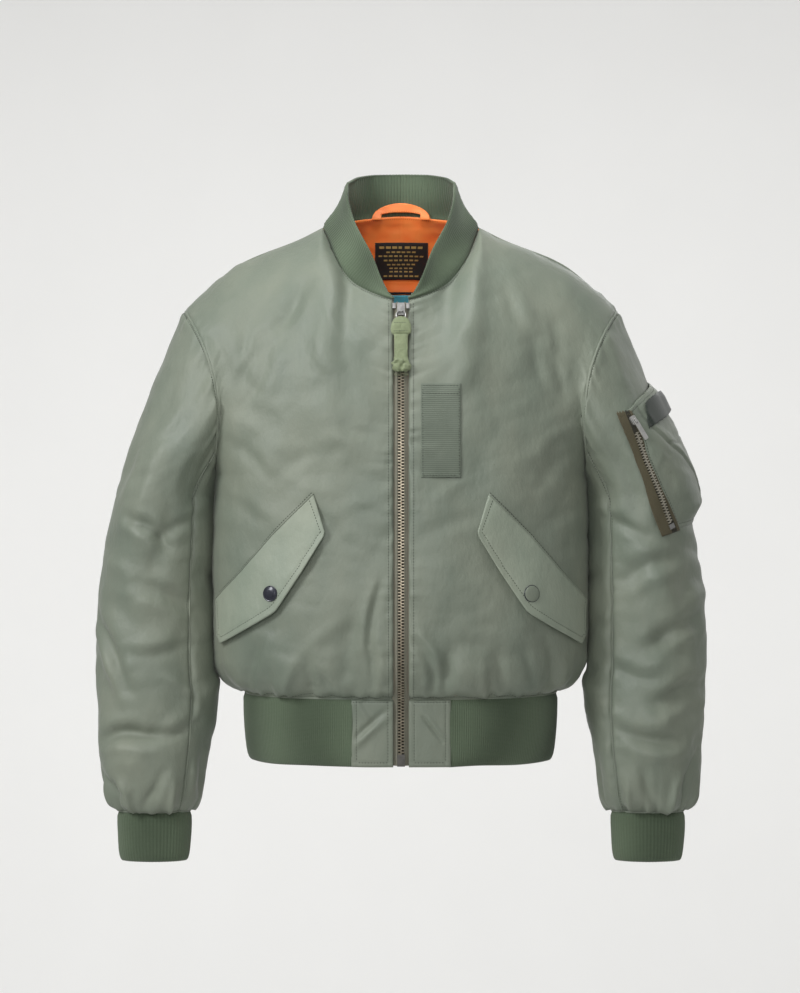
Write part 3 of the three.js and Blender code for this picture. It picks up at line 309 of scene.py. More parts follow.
# Creases seen from the front: x and z of both ends in the photo's plane, width, depth
# (a ridge is positive) and how far the middle bows to one side
frontCreases = [
    (-25, -432, -38, -500, 5, -3.4, -3), (-38, -500, -34, -562, 5.5, -3.6, 2), (-33, -436, -47, -505, 7, 2.6, -3),
    (18, -500, 38, -541, 5, -3.2, 4), (38, -541, 34, -562, 5, -3, 2), (26, -496, 47, -536, 6, 2.2, 4),
    (58, -520, 52, -560, 6, -2.4, 0), (-66, -30, -68, -140, 11, -2.6, 4), (-84, -40, -86, -130, 10, 2.2, 3),
    (-120, -78, -158, -128, 8, -2.2, 6), (-146, -296, -84, -272, 9, -1.6, 6), (-145, -294, -86, -320, 8, 1.5, -5),
    (66, -40, 56, -120, 10, -2.2, -4), (88, -46, 90, -130, 10, 2.0, 3), (128, -84, 160, -138, 8, -2.0, -6),
    (160, -150, 186, -210, 8, -1.9, -6), (-160, -150, -188, -212, 8, -2.0, 6), (-176, -128, -200, -178, 6, 1.6, 4),
    (176, -126, 198, -176, 6, 1.6, -4), (-112, -526, -106, -562, 6, -3, 0), (-98, -538, -84, -562, 5, -2.6, 0),
    (-130, -532, -142, -562, 6, 2.8, 0), (96, -528, 100, -562, 7, 2.4, 0), (118, -520, 124, -562, 6, -3.0, 0),
    (150, -516, 158, -560, 6, -2.6, 2), (176, -500, 186, -556, 6, -2.8, 3), (-170, -504, -184, -556, 6, -2.8, -3),
    (40, -330, 92, -306, 8, 1.3, 4), (34, -372, 84, -352, 9, -1.3, 4), (-34, -250, -76, -240, 7, -1.1, 3),
    (-30, -330, -72, -344, 8, 1.2, -3), (-70, -380, -150, -330, 12, -1.4, -8), (60, -420, 128, -470, 12, 1.4, 8),
    (120, -250, 172, -300, 11, -1.6, 8), (-196, -236, -150, -268, 9, 1.6, 5), (-204, -262, -160, -302, 8, -1.9, 5),
    (204, -244, 158, -276, 9, 1.6, -5), (206, -272, 166, -312, 8, -1.9, -5), (-60, -470, -120, -520, 9, 1.6, -5),
    (70, -500, 120, -520, 9, -1.6, 4), (-208, -330, -176, -352, 8, -1.4, 3), (208, -340, 180, -362, 8, -1.4, -3),
]
# The same on the back, x as seen from the front
backCreases = [
    (-60, -60, -72, -190, 12, -2.4, 5), (64, -70, 58, -180, 12, 2.2, -5), (-150, -120, -180, -210, 9, -2.4, 6),
    (150, -116, 184, -204, 9, -2.4, -6), (-202, -240, -140, -290, 10, -2.2, 6), (204, -236, 146, -292, 10, 2.2, -6),
    (-196, -268, -120, -320, 9, 1.8, 6), (198, -272, 130, -330, 9, -2.0, -8), (-90, -330, 30, -300, 14, -1.7, 9),
    (110, -380, 10, -350, 14, 1.6, -9), (-170, -420, -90, -470, 12, -2.0, 6), (160, -440, 80, -480, 12, 2.0, -6),
    (-120, -500, -112, -560, 7, -3.0, 0), (-70, -510, -76, -560, 7, 2.6, 0), (-20, -506, -14, -560, 7, -3.0, 0),
    (34, -512, 30, -560, 7, 2.6, 0), (84, -500, 92, -560, 7, -3.0, 0), (140, -506, 150, -560, 7, -2.8, 0),
    (-180, -500, -188, -556, 6, -2.6, 0), (0, -80, 4, -200, 14, 1.6, 4), (-40, -240, -10, -420, 16, 1.4, -8),
]
# Sleeve creases: turn and height of both ends, width, depth, bow. Rear ones are the same on both
rearCreases = [
    (-90, -460, -30, -500, 10, 3.0, 6), (-100, -560, -40, -590, 9, -3.6, 5),
    (-80, -640, -76, -698, 7, -3.4, 0), (-40, -650, -36, -698, 7, 3.2, 0), (-120, -300, -70, -260, 10, -2.6, 5),
    (150, -420, 210, -440, 9, -3, 4), (150, -560, 215, -540, 9, 3, 4), (160, -640, 170, -698, 8, -3, 0),
    (200, -640, 196, -698, 8, 3, 0), (240, -640, 244, -698, 8, -3, 0),
]
sleeveCreases = {
    -1: [
        (60, -352, 108, -384, 6, -4.2, 6), (52, -362, 100, -398, 8, 3.2, 6), (100, -372, 140, -352, 7, -3, 3),
        (20, -470, 66, -550, 8, -4.4, 8), (14, -486, 58, -560, 9, 3.2, 8), (30, -612, 92, -606, 7, -5.0, 7),
        (92, -606, 140, -592, 7, -4.4, -5), (34, -628, 90, -624, 8, 3.6, 6), (24, -656, 60, -680, 6, -4.0, -3),
        (104, -652, 84, -686, 6, -4.0, 3), (60, -668, 66, -698, 5, 3.6, 0), (44, -664, 46, -698, 5, -3.8, 0),
        (118, -664, 116, -698, 5, 3.4, 0), (136, -640, 130, -690, 6, -3.6, 2), (10, -660, 12, -698, 6, -3.6, 0),
        (60, -150, 80, -300, 10, -2.6, 6), (96, -170, 112, -330, 9, 2.6, -5), (120, -250, 134, -330, 8, -3.0, 4),
        (30, -200, 46, -330, 12, 2.0, 6), (84, -430, 132, -456, 8, -3.4, 4), (80, -446, 128, -474, 9, 2.6, 4),
        (70, -510, 126, -500, 8, -3.0, -5), (110, -540, 138, -566, 7, 2.8, 3), (18, -400, 70, -420, 10, 2.0, 4),
        (-60, -380, -10, -420, 10, -3.0, 6),
    ],
    1: [
        (96, -372, 140, -352, 7, -3.4, 3), (70, -398, 116, -420, 8, -3.8, 5), (62, -414, 108, -438, 9, 2.8, 5),
        (40, -470, 92, -500, 8, -4.2, 6), (34, -488, 86, -520, 9, 3.0, 6), (84, -540, 138, -520, 8, -3.6, -5),
        (24, -548, 84, -566, 8, -4.4, 6), (20, -570, 78, -588, 9, 3.2, 6), (60, -610, 130, -596, 7, -4.4, -6),
        (54, -628, 116, -622, 8, 3.4, -5), (22, -630, 50, -672, 7, -4.0, 4), (100, -650, 86, -690, 6, -4.0, 3),
        (62, -666, 66, -698, 5, 3.6, 0), (46, -662, 44, -698, 5, -3.8, 0), (118, -662, 120, -698, 5, 3.4, 0),
        (136, -640, 130, -690, 6, -3.6, 2), (10, -660, 12, -698, 6, -3.6, 0), (84, -150, 96, -290, 10, -2.6, 6),
        (104, -180, 116, -330, 9, 2.6, -5), (124, -250, 134, -330, 8, -3.0, 4), (40, -140, 52, -200, 9, 2.0, 3),
        (0, -400, 50, -384, 9, -2.6, 4), (10, -440, 60, -452, 10, 2.4, 5),
        (-60, -390, -10, -420, 10, -3.0, 6),
    ],
}


def creaseShape(x, z, crease):
    x0, z0, x1, z1, width, depth, bow = crease
    length = math.hypot(x1 - x0, z1 - z0)
    ux, uz = (x1 - x0) / length, (z1 - z0) / length
    along = ((x - x0) * ux + (z - z0) * uz) / length
    off = (x - x0) * -uz + (z - z0) * ux - bow * np.sin(math.pi * np.clip(along, 0, 1))
    past = np.maximum(0, np.maximum(-along, along - 1)) * length
    fade = bell(past, 1.6 * width) * (0.55 + 0.45 * np.sin(math.pi * np.clip(along, 0, 1)))
    near, far = off / width, (off - 1.8 * width) / (1.3 * width)
    return depth * fade * (np.exp(-near * near) - 0.4 * np.exp(-far * far))


def frontView(p):
    scale = 3200 / (3200 + p[..., 1])
    return p[..., 0] * scale, -326 + (p[..., 2] + 326) * scale


def gridNormals(p, closed=False):
    if closed:
        du = np.roll(p, -1, axis=1) - np.roll(p, 1, axis=1)
    else:
        du = np.gradient(p, axis=1)
    return unit(np.cross(du, np.gradient(p, axis=0)))


def arcAlong(p, axis):
    steps = np.linalg.norm(np.diff(p, axis=axis), axis=-1)
    return np.concatenate([np.zeros_like(np.take(steps, [0], axis)), np.cumsum(steps, axis=axis)], axis=axis)


def lengthAlong(line):
    return np.concatenate([[0], np.cumsum(np.linalg.norm(np.diff(line, axis=0), axis=1))])


def readAt(at, steps, line):
    return np.stack([np.interp(at, steps, column) for column in np.asarray(line, float).T], -1)


def resample(line, count):
    steps = lengthAlong(line)
    return readAt(np.linspace(0, steps[-1], count), steps, line)


# Meshes from grids
def meshObject(name, points, faces, body="jacket", smoothFaces=True, uvs=None):
    mesh = bpy.data.meshes.new(name)
    mesh.from_pydata((np.asarray(points).reshape(-1, 3) * mm).tolist(), [], faces)
    piece = bpy.data.objects.new(name, mesh)
    bpy.context.scene.collection.objects.link(piece)
    mesh.polygons.foreach_set("use_smooth", [smoothFaces] * len(mesh.polygons))
    if uvs is not None:
        layer = mesh.uv_layers.new(name="cloth")
        flat = np.asarray(uvs).reshape(-1, 2)
        loops = np.zeros(len(mesh.loops), int)
        mesh.loops.foreach_get("vertex_index", loops)
        layer.data.foreach_set("uv", flat[loops].ravel())
    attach(piece, body)
    return piece


def gridFaces(rows, cols, closed=False, flip=False):
    r, c = np.meshgrid(np.arange(rows - 1), np.arange(cols if closed else cols - 1), indexing="ij")
    low, high, ahead = r * cols, (r + 1) * cols, (c + 1) % cols
    quads = np.stack([low + c, low + ahead, high + ahead, high + c], -1).reshape(-1, 4)
    return (quads[:, ::-1] if flip else quads).tolist()


def applyModifiers(piece):
    bpy.ops.object.select_all(action="DESELECT")
    bpy.context.view_layer.objects.active = piece
    piece.select_set(True)
    for modifier in list(piece.modifiers):
        bpy.ops.object.modifier_apply(modifier=modifier.name)
    piece.select_set(False)


cuts = {}


def clothSheet(name, grid, outward, thickness, closed=False, flatGrid=None, body="jacket"):
    rows, cols = grid.shape[:2]
    around = np.concatenate([grid, grid[:, :1]], 1) if closed else grid
    sides = np.cross(around[1:, 1:] - around[:-1, :-1], around[1:, :-1] - around[:-1, 1:])
    wide, tall = arcAlong(around, 1)[:, -1].max(), arcAlong(around, 0)[-1].max()
    cuts[name] = [wide, tall, 0.5 * np.linalg.norm(sides, axis=-1).sum()]
    normals = gridNormals(grid, closed)
    flip = np.sum(normals * outward) < 0
    uvs = sheetUvs(grid if flatGrid is None else flatGrid)
    piece = meshObject(name, grid, gridFaces(rows, cols, closed, flip), body, uvs=uvs)
    wall = piece.modifiers.new("wall", "SOLIDIFY")
    wall.thickness = thickness * mm
    wall.offset = -1
    wall.material_offset = 1
    wall.material_offset_rim = 0
    return piece


def sheetUvs(grid):
    return np.stack([arcAlong(grid, 1), arcAlong(grid, 0)], -1) * 0.01


# Finishes
class Wire:
    def __init__(self, look, socket):
        self.look, self.socket = look, socket

    def maths(self, operation, *others):
        values = {0: self, **{i + 1: other for i, other in enumerate(others)}}
        return self.look.node("ShaderNodeMath", {"operation": operation}, values).out(0)

    def __add__(self, other):
        return self.maths("ADD", other)

    def __mul__(self, other):
        return self.maths("MULTIPLY", other)

    def __sub__(self, other):
        return self.maths("SUBTRACT", other)

    def __rsub__(self, other):
        return self.look.node("ShaderNodeMath", {"operation": "SUBTRACT"}, {0: other, 1: self}).out(0)

    __radd__, __rmul__ = __add__, __mul__

    def sine(self):
        return self.maths("SINE")

    def clamped(self, low, high):
        values = {"Value": self, "From Min": low, "From Max": high}
        return self.look.node("ShaderNodeMapRange", {"clamp": True}, values).out(0)


class Node:
    def __init__(self, look, made):
        self.look, self.made = look, made

    def out(self, name):
        return Wire(self.look, self.made.outputs[name])


class Look:
    def __init__(self, name, **fixed):
        self.material = bpy.data.materials.new(name)
        self.material.use_nodes = True
        self.tree = self.material.node_tree
        self.tree.nodes.clear()
        self.shader = self.node("ShaderNodeBsdfPrincipled", {}, fixed)
        self.node("ShaderNodeOutputMaterial", {}, {"Surface": self.shader.out("BSDF")})

    def node(self, kind, settings, values):
        made = self.tree.nodes.new(kind)
        for key, value in settings.items():
            setattr(made, key, value)
        for key, value in values.items():
            self.fill(made.inputs[key], value)
        return Node(self, made)

    def fill(self, socket, value):
        if isinstance(value, Wire):
            self.tree.links.new(value.socket, socket)
        else:
            socket.default_value = value

    def set(self, **values):
        for key, value in values.items():
            self.fill(self.shader.made.inputs[key.replace("_", " ")], value)

    def blend(self, factor, a, b):
        made = self.node("ShaderNodeMix", {"data_type": "RGBA"}, {"Factor": factor})
        for key, colour in ((6, a), (7, b)):
            self.fill(made.made.inputs[key], (*colour, 1))
        return made.out(2)

    def place(self):
        return self.node("ShaderNodeTexCoord", {}, {}).out("Object")

    def cloth(self):
        return self.node("ShaderNodeUVMap", {"uv_map": "cloth"}, {}).out("UV")

    def parts(self, vector):
        made = self.node("ShaderNodeSeparateXYZ", {}, {"Vector": vector})
        return made.out("X"), made.out("Y"), made.out("Z")

    def noise(self, vector, scale, detail=2.0, rough=0.5):
        values = {"Vector": vector, "Scale": scale, "Detail": detail, "Roughness": rough}
        return self.node("ShaderNodeTexNoise", {}, values).out("Fac")

    def stretched(self, vector, x, y, z=1.0):
        return self.node("ShaderNodeMapping", {}, {"Vector": vector, "Scale": (x, y, z)}).out("Vector")

    def bump(self, height, strength, distance, under=None):
        values = {"Height": height, "Strength": strength, "Distance": distance}
        if under is not None:
            values["Normal"] = under
        return self.node("ShaderNodeBump", {}, values).out("Normal")


def satinNylon(name, dark, light, roughness=0.46):
    look = Look(name, **{"Sheen Weight": 0.12, "Sheen Roughness": 0.4, "Specular IOR Level": 0.55})
    place = look.place()
    # Broad mottling in the base colour and roughness: partly the nylon's own uneven tone, partly painted sheen
    # patches
    broad = ((look.noise(look.stretched(place, 1, 1, 0.55), 13, 3, 0.55) - 0.5) * 2.2 + 0.5).clamped(0, 1)
    speck = look.noise(place, 900, 2)
    u, v, _ = look.parts(look.cloth())
    twill = ((u + v) * 900).sine() * 0.5 + 0.5
    look.set(Base_Color=look.blend(broad * 0.75 + speck * 0.25, dark, light))
    look.set(Roughness=(broad * 0.12 + roughness - 0.06) + speck * 0.06)
    crumple = look.noise(look.stretched(place, 1, 1, 0.6), 60, 4, 0.6)
    weave = look.bump(twill, 0.12, 0.00012)
    look.set(Normal=look.bump(crumple, 0.6, 0.0024, weave))
    return look.material


def ribKnit(name, dark, light):
    fixed = {"Sheen Weight": 0.25, "Sheen Roughness": 0.5, "Specular IOR Level": 0.25, "Roughness": 0.85}
    look = Look(name, **fixed)
    u, v, _ = look.parts(look.cloth())
    crest = (u * 2 * math.pi + math.pi / 2).sine() * 0.5 + 0.5
    loops = ((v * 420).sine() * 0.5 + 0.5) * 0.35 + crest * 0.65
    fuzz = look.noise(look.place(), 1400, 2)
    broad = look.noise(look.place(), 14, 2)
    # The base colour follows the rib relief that the bump uses: the knit's loop pattern plus painted shade in the
    # valleys between ribs
    look.set(Base_Color=look.blend((loops * 0.7 + fuzz * 0.3 + broad * 0.35 - 0.12).clamped(0, 1), dark, light))
    look.set(Normal=look.bump(loops * 0.7 + fuzz * 0.3, 0.7, 0.0006))
    return look.material


def wovenBand(name, dark, light, pitch=70, strength=0.5, roughness=0.75):
    look = Look(name, **{"Sheen Weight": 0.15, "Specular IOR Level": 0.3, "Roughness": roughness})
    u, v, _ = look.parts(look.cloth())
    ribs = (v * pitch * 2 * math.pi).sine() * 0.5 + 0.5
    thread = (u * pitch * 3.2 * math.pi).sine() * 0.5 + 0.5
    fuzz = look.noise(look.place(), 1100, 2)
    weave = ribs * 0.6 + thread * 0.2 + fuzz * 0.2
    broad = look.noise(look.place(), 40, 2)
    # The base colour follows the weave relief that the bump uses: the weave pattern plus painted shade in the
    # grooves between ribs
    look.set(Base_Color=look.blend((weave * 0.7 + broad * 0.4 - 0.05).clamped(0, 1), dark, light))
    look.set(Normal=look.bump(weave, strength, 0.0004))
    return look.material


def metalFinish(name, dark, light, roughness):
    look = Look(name, Metallic=0.92)
    place = look.place()
    wear = look.noise(place, 160, 4, 0.6)
    look.set(Base_Color=look.blend(wear, dark, light))
    look.set(Roughness=look.noise(place, 420, 2) * 0.22 + roughness - 0.1)
    look.set(Normal=look.bump(look.noise(place, 900, 2), 0.25, 0.00008))
    return look.material


def plainCloth(name, dark, light, roughness=0.7, grain=700, distance=0.0002):
    look = Look(name, **{"Sheen Weight": 0.15, "Specular IOR Level": 0.3})
    place = look.place()
    fuzz = look.noise(place, grain, 2)
    broad = look.noise(place, 30, 2)
    look.set(Base_Color=look.blend(fuzz * 0.5 + broad * 0.5, dark, light))
    look.set(Roughness=fuzz * 0.12 + roughness - 0.06, Normal=look.bump(fuzz, 0.45, distance))
    return look.material


def quiltedLining():
    look = Look("orange lining", **{"Sheen Weight": 0.15, "Specular IOR Level": 0.4})
    place = look.place()
    x, y, z = look.parts(place)
    quilt = ((x * 210).sine() * (z * 210).sine()) * 0.5 + 0.5
    crumple = look.noise(place, 60, 3)
    # The base colour follows the crumple and quilting relief that the bump uses: painted shade in the hollows,
    # painted light on the puffs
    look.set(Base_Color=look.blend(crumple * 0.7 + quilt * 0.3, (1.0, 0.185, 0.032), (1.0, 0.33, 0.075)))
    look.set(Roughness=crumple * 0.15 + 0.4, Normal=look.bump(quilt * 0.3 + crumple * 0.7, 0.6, 0.0016))
    return look.material


def glossCap():
    look = Look("dark enamel", **{"Coat Weight": 0.5, "Coat Roughness": 0.15, "Metallic": 0.35})
    place = look.place()
    cloud = look.noise(place, 500, 3)
    look.set(Base_Color=look.blend(cloud, (0.010, 0.012, 0.02), (0.03, 0.034, 0.05)), Roughness=cloud * 0.2 + 0.22)
    look.set(Normal=look.bump(cloud, 0.2, 0.0001))
    return look.material


finish = {
    "shell": satinNylon("sage satin nylon", (0.150, 0.186, 0.146), (0.248, 0.272, 0.212), 0.5),
    "knit": ribKnit("forest rib knit", (0.044, 0.064, 0.038), (0.125, 0.168, 0.108)),
    "lining": quiltedLining(),
    "webbing": wovenBand("grey green webbing", (0.078, 0.099, 0.075), (0.212, 0.247, 0.195), 42, 0.8, 0.55),
    "zipTape": wovenBand("olive grey tape", (0.15, 0.148, 0.110), (0.27, 0.265, 0.21), 110, 0.4, 0.8),
    "sleeveTape": wovenBand("brown olive tape", (0.052, 0.046, 0.026), (0.128, 0.112, 0.066), 110, 0.4, 0.8),
    "pull": wovenBand("sage webbing pull", (0.165, 0.205, 0.110), (0.36, 0.415, 0.255), 70, 1.0, 0.9),
    "brass": metalFinish("antique brass", (0.16, 0.14, 0.10), (0.52, 0.47, 0.36), 0.38),
    # Painted highlight: a brighter copy of the brass for the sleeve zip teeth, standing for reflections the dull
    # metal misses
    "brassPaintedBright": metalFinish("antique brass painted bright", (0.40, 0.38, 0.31), (0.84, 0.80, 0.68), 0.45),
    "steel": metalFinish("dull nickel", (0.22, 0.22, 0.215), (0.50, 0.50, 0.49), 0.38),
    "enamel": glossCap(),
    "label": plainCloth("black woven label", (0.008, 0.008, 0.008), (0.022, 0.021, 0.019)),
    "gold": plainCloth("gold thread", (0.26, 0.17, 0.045), (0.5, 0.36, 0.11), 0.5),
    "tab": plainCloth("blue tab", (0.05, 0.33, 0.42), (0.10, 0.46, 0.56), 0.6),
    "penTab": plainCloth("dark green tab", (0.020, 0.028, 0.022), (0.040, 0.052, 0.042), 0.5, 500),
    # Painted shade: the thread is darkened to stand for the shade in the stitch holes and grooves
    "thread": plainCloth("sage thread painted dark for stitch shade", (0.022, 0.029, 0.020), (0.052, 0.066, 0.046), 0.7, 1500),
    "redThread": plainCloth("orange thread", (0.42, 0.055, 0.012), (0.66, 0.11, 0.03), 0.6, 1500),
    # Painted shade: a dark copy of the tape for its middle, standing for the shade between the teeth
    "chainGapShade": plainCloth("tape middle painted in shade", (0.018, 0.017, 0.012), (0.045, 0.042, 0.03), 0.9),
    # Painted light: a lighter copy of the shell nylon for the flaps, standing for the light their tilt catches
    "flap": satinNylon("sage nylon painted lighter", (0.212, 0.262, 0.205), (0.342, 0.378, 0.297), 0.5),
    # Painted highlight: a brighter copy of the nickel for the sleeve slider and pull, standing for reflections the
    # dull metal misses
    "steelPaintedBright": metalFinish("nickel painted bright", (0.42, 0.42, 0.41), (0.85, 0.85, 0.83), 0.5),
    "darkSteel": metalFinish("dark nickel", (0.05, 0.05, 0.046), (0.22, 0.215, 0.20), 0.4),
    "hemThread": plainCloth("pale sage thread", (0.15, 0.185, 0.14), (0.30, 0.335, 0.26), 0.7, 1500),
}


def dress(piece, slotName, *looks):
    piece.data.materials.clear()
    for look in looks:
        piece.data.materials.append(finish[look])


def finishPiece(piece, node, slotName, *looks):
    dress(piece, slotName, *looks)
    applyModifiers(piece)
    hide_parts(node)


print("finishes ready")


# Shell cloth, cut panel by panel
shell = {"thickness": 1.4, "seamRoll": 1.5, "seamWidth": 3.2}


def bodyPanel(side, isBack):
    start = 0 if isBack else form["zipHalfWidth"] / form["frontSpread"]
    cols = 96
    share = start + (1 - start) * np.linspace(0, 1, cols)
    low = form["hemSeam"] + (form["armpit"] - form["hemSeam"]) * np.linspace(0, 1, 84) ** 1.15
    high = np.linspace(form["armpit"], 0, 84)[1:]
    level, share = np.meshgrid(np.concatenate([low, high]), share, indexing="ij")
    plain = bodySurface(level, share, side, isBack)
    normals = gridNormals(plain)
    outward = np.array([0, 1.0 if isBack else -1.0, 0]) + vec(np.sign(plain[..., 0]), 0, 0) * 0.4
    if np.sum(normals * outward) < 0:
        normals = -normals
    girth = form["frontSpread"] * (2 - share if isBack else share)
    rise = np.clip((level - form["armpit"]) / 300, 0, 1)
    upper = level > form["armpit"]
    fromZip = 1 if isBack else smooth((share * form["frontSpread"] - form["zipHalfWidth"]) / 34)
    belowArmpit = np.where(upper, 0, (form["armpit"] - level) / 90)
    fromSide = smooth(np.maximum((1 - share) / 0.16, belowArmpit))
    fromTop = np.where(upper, smooth((1 - rise) / 0.25), 1)
    relief = bodyRelief(girth, level, side) * fromZip * fromSide * fromTop
    across = arcAlong(plain, 1)
    fromLeft, fromRight = across, across[:, -1:] - across
    up = arcAlong(plain, 0)
    fromFoot, fromHead = up, up[-1:] - up
    x, z = frontView(plain)
    fine = np.zeros_like(relief)
    for crease in backCreases if isBack else frontCreases:
        fine += creaseShape(x, z, crease)
    seed = 40 + side + (7 if isBack else 0)
    fine += 1.3 * softNoise(x + 500, z + 900, seed, 46) + 0.6 * softNoise(x + 500, z + 900, seed + 20, 19)
    fine += 1.5 * crumple(x, z, seed + 30, 52, 62 * side, 0.45) + 1.1 * crumple(x, z, seed + 31, 38, -38 * side, 0.5)
    fine += 0.7 * crumple(x, z, seed + 32, 21, 15 * side, 0.55)
    # Puckers run square to each seam and die away from it
    seamLine = np.where(upper, rise * 300 + 260, level + 560)
    pucker = softNoise(seamLine + 900, fromRight * 0.25, seed + 3, 7.5)
    fine += 1.5 * pucker * np.exp(-fromRight / 15) * smooth(fromRight / 3)
    if not isBack:
        edge = softNoise(level + 900, fromLeft * 0.12 + 40, seed + 5, 6.5)
        fine += 1.9 * edge * np.exp(-fromLeft / 15) * smooth(fromLeft / 2.5)
    foot = softNoise(across + 200, fromFoot * 0.15, seed + 6, 8.5)
    fine += 3.0 * foot * np.exp(-fromFoot / 22) * smooth(fromFoot / 3)
    head = softNoise(across + 300, fromHead * 0.15, seed + 8, 9)
    fine += 1.1 * head * np.exp(-fromHead / 14) * smooth(fromHead / 3)
    fine *= 1.2
    hold = smooth(fromRight / 6) * smooth(fromHead / 6) * smooth(fromFoot / 5)
    fine *= hold * (1 if isBack else smooth(fromLeft / 3))
    # Cloth rolls in where it is sewn
    roll = shell["seamRoll"]
    width = shell["seamWidth"]
    inward = roll * bell(fromRight, width) + roll * bell(fromHead, width)
    inward += roll * 1.3 * bell(fromFoot, width)
    if not isBack:
        inward += 0.9 * bell(fromLeft, 1.6)
        inward += 0.75 * bell(fromLeft - 5.2, 1.3) * (level < 5)
    base = plain + normals * relief[..., None]
    crowded = smooth((34 - fromRight) / 12) * smooth((70 - np.abs(level - form["armpit"])) / 25)
    return eased(base + normals * (fine - inward)[..., None], crowded), normals, base, share[0], level[:, 0]


def joinHalves(right, left):
    return np.concatenate([right[:, ::-1], left[:, 1:]], axis=1)


def eased(grid, mask, rounds=14):
    for _ in range(rounds):
        around = grid.copy()
        around[1:-1, 1:-1] = (grid[:-2, 1:-1] + grid[2:, 1:-1] + grid[1:-1, :-2] + grid[1:-1, 2:]) / 4
        grid = grid + (around - grid) * mask[..., None]
    return grid


panels = {}
for name, side in (("right", -1), ("left", 1)):
    grid, normals, base, cols, levels = bodyPanel(side, False)
    piece = clothSheet("front_panel_" + name, grid, normals, shell["thickness"])
    panels["front_" + name] = {
        "piece": piece, "grid": grid, "normals": normals, "base": base, "cols": cols, "levels": levels,
    }
rightBack, leftBack = bodyPanel(-1, True), bodyPanel(1, True)
backGrid = joinHalves(rightBack[0], leftBack[0])
backNormals = joinHalves(rightBack[1], leftBack[1])
panels["back"] = {
    "piece": clothSheet("back_panel", backGrid, backNormals, shell["thickness"]),
    "grid": backGrid, "normals": backNormals,
}
print("body panels made")

sleeveCloth = {"frontSeam": 135, "backSeam": 240, "middle": 292, "radius": 1.15, "topCols": 104, "underCols": 40}


def sleeveSheet(side, turns, name):
    levels = np.concatenate([np.linspace(0, 1, 60), 1 + 370 * np.linspace(0, 1, 124)[1:]])
    level, turn = np.meshgrid(levels, turns, indexing="ij")
    plain = sleeveSurface(level, turn, side)
    normals = gridNormals(plain)
    middle = vec(side * sleeveCloth["middle"] + 0 * turn, 0, plain[..., 2])
    if np.sum(normals * (plain - middle)) < 0:
        normals = -normals
    share = np.clip(level, 0, 1)
    underarm = smooth(1 - np.abs(np.mod(turn, 360) - 180) / 60)
    hold = smooth(share / 0.5) * (1 - underarm)
    relief = sleeveRelief(turn, plain[..., 2], side) * hold
    fine = np.zeros_like(relief)
    height = plain[..., 2]
    wrapped = np.mod(turn + 180, 360) - 180
    radius = sleeveCloth["radius"]
    for turnA, heightA, turnB, heightB, *shape in sleeveCreases[side] + rearCreases:
        for shift in (-360, 0, 360):
            ends = ((turnA + shift) * radius, heightA, (turnB + shift) * radius, heightB)
            fine += creaseShape(wrapped * radius, height, (*ends, *shape))
    seed = 70 + side
    aside = wrapped * 1.2
    for depth, number, size in ((1.3, seed, 40), (0.6, seed + 4, 17)):
        fine += depth * softNoise(aside + 900, height + 900, number, size)
    fine += 1.6 * crumple(aside, height, seed + 30, 46, 70 * side, 0.45)
    fine += 1.2 * crumple(aside, height, seed + 31, 34, -50 * side, 0.5)
    fine += 0.7 * crumple(aside, height, seed + 32, 20, 20, 0.6)
    across = arcAlong(plain, 1)
    fromLeft, fromRight = across, across[:, -1:] - across
    up = arcAlong(plain, 0)
    fromCap, fromCuff = up, up[-1:] - up
    cap = softNoise(turn * 1.7 + 900, fromCap * 0.15, seed + 6, 8)
    fine += 2.2 * cap * np.exp(-fromCap / 20) * smooth(fromCap / 3)
    cuff = softNoise(turn * 1.1 + 700, fromCuff * 0.12, seed + 8, 6)
    fine += 3.0 * cuff * np.exp(-fromCuff / 24) * smooth(fromCuff / 3)
    for distance, offset in ((fromLeft, 9), (fromRight, 11)):
        seam = softNoise(height + 900, distance * 0.2, seed + offset, 8)
        fine += 1.2 * seam * np.exp(-distance / 13) * smooth(distance / 3)
    fine += 6.5 * bell(np.mod(turn, 360) - 178, 34) * smooth((-268 - height) / 50) * smooth((height + 640) / 80)
    fine *= 1.15 * smooth(fromCap / 6) * smooth(fromCuff / 4) * smooth(fromLeft / 5) * smooth(fromRight / 5)
    roll, width = shell["seamRoll"], shell["seamWidth"]
    inward = sum(roll * bell(d, width) for d in (fromCap, fromCuff, fromLeft, fromRight))
    base = plain + normals * relief[..., None]
    grid = base + normals * (fine - inward)[..., None]
    piece = clothSheet(name, grid, normals, shell["thickness"])
    panels[name] = {"piece": piece, "grid": grid, "normals": normals, "base": base, "cols": turns, "levels": levels}
    return piece


for name, side in (("right", -1), ("left", 1)):
    frontSeam, backSeam = sleeveCloth["frontSeam"], sleeveCloth["backSeam"]
    sleeveSheet(side, np.linspace(backSeam - 360, frontSeam, sleeveCloth["topCols"]), "sleeve_top_cloth_" + name)
    sleeveSheet(side, np.linspace(frontSeam, backSeam, sleeveCloth["underCols"]), "sleeve_under_cloth_" + name)
print("sleeves made")


# Rib knit: collar, hem band and cuffs
knit = {"ribDepth": 0.3, "colsPerRib": 4, "thickness": 2.6}


def ribbed(grid, normals):
    cols = grid.shape[1]
    phase = np.arange(cols) / knit["colsPerRib"] * 2 * math.pi
    lift = knit["ribDepth"] * np.cos(phase)
    return grid + normals * lift[None, :, None]


def hemRow(height, bulge, count):
    start = form["hemTabHalf"] / form["frontSpread"]
    share = np.linspace(start, 1, 160)
    backShare = np.linspace(0, 1, 160)
    at = np.full_like(share, height)
    halves = [torsoPoint(at, share, -1, False), torsoPoint(at, backShare, -1, True)[::-1][1:]]
    halves += [torsoPoint(at, backShare, 1, True)[1:], torsoPoint(at, share, 1, False)[::-1][1:]]
    line = resample(np.concatenate(halves), count)
    out = unit(vec(line[:, 0], line[:, 1] * 1.6, 0))
    return line + out * np.asarray(bulge)[..., None], out


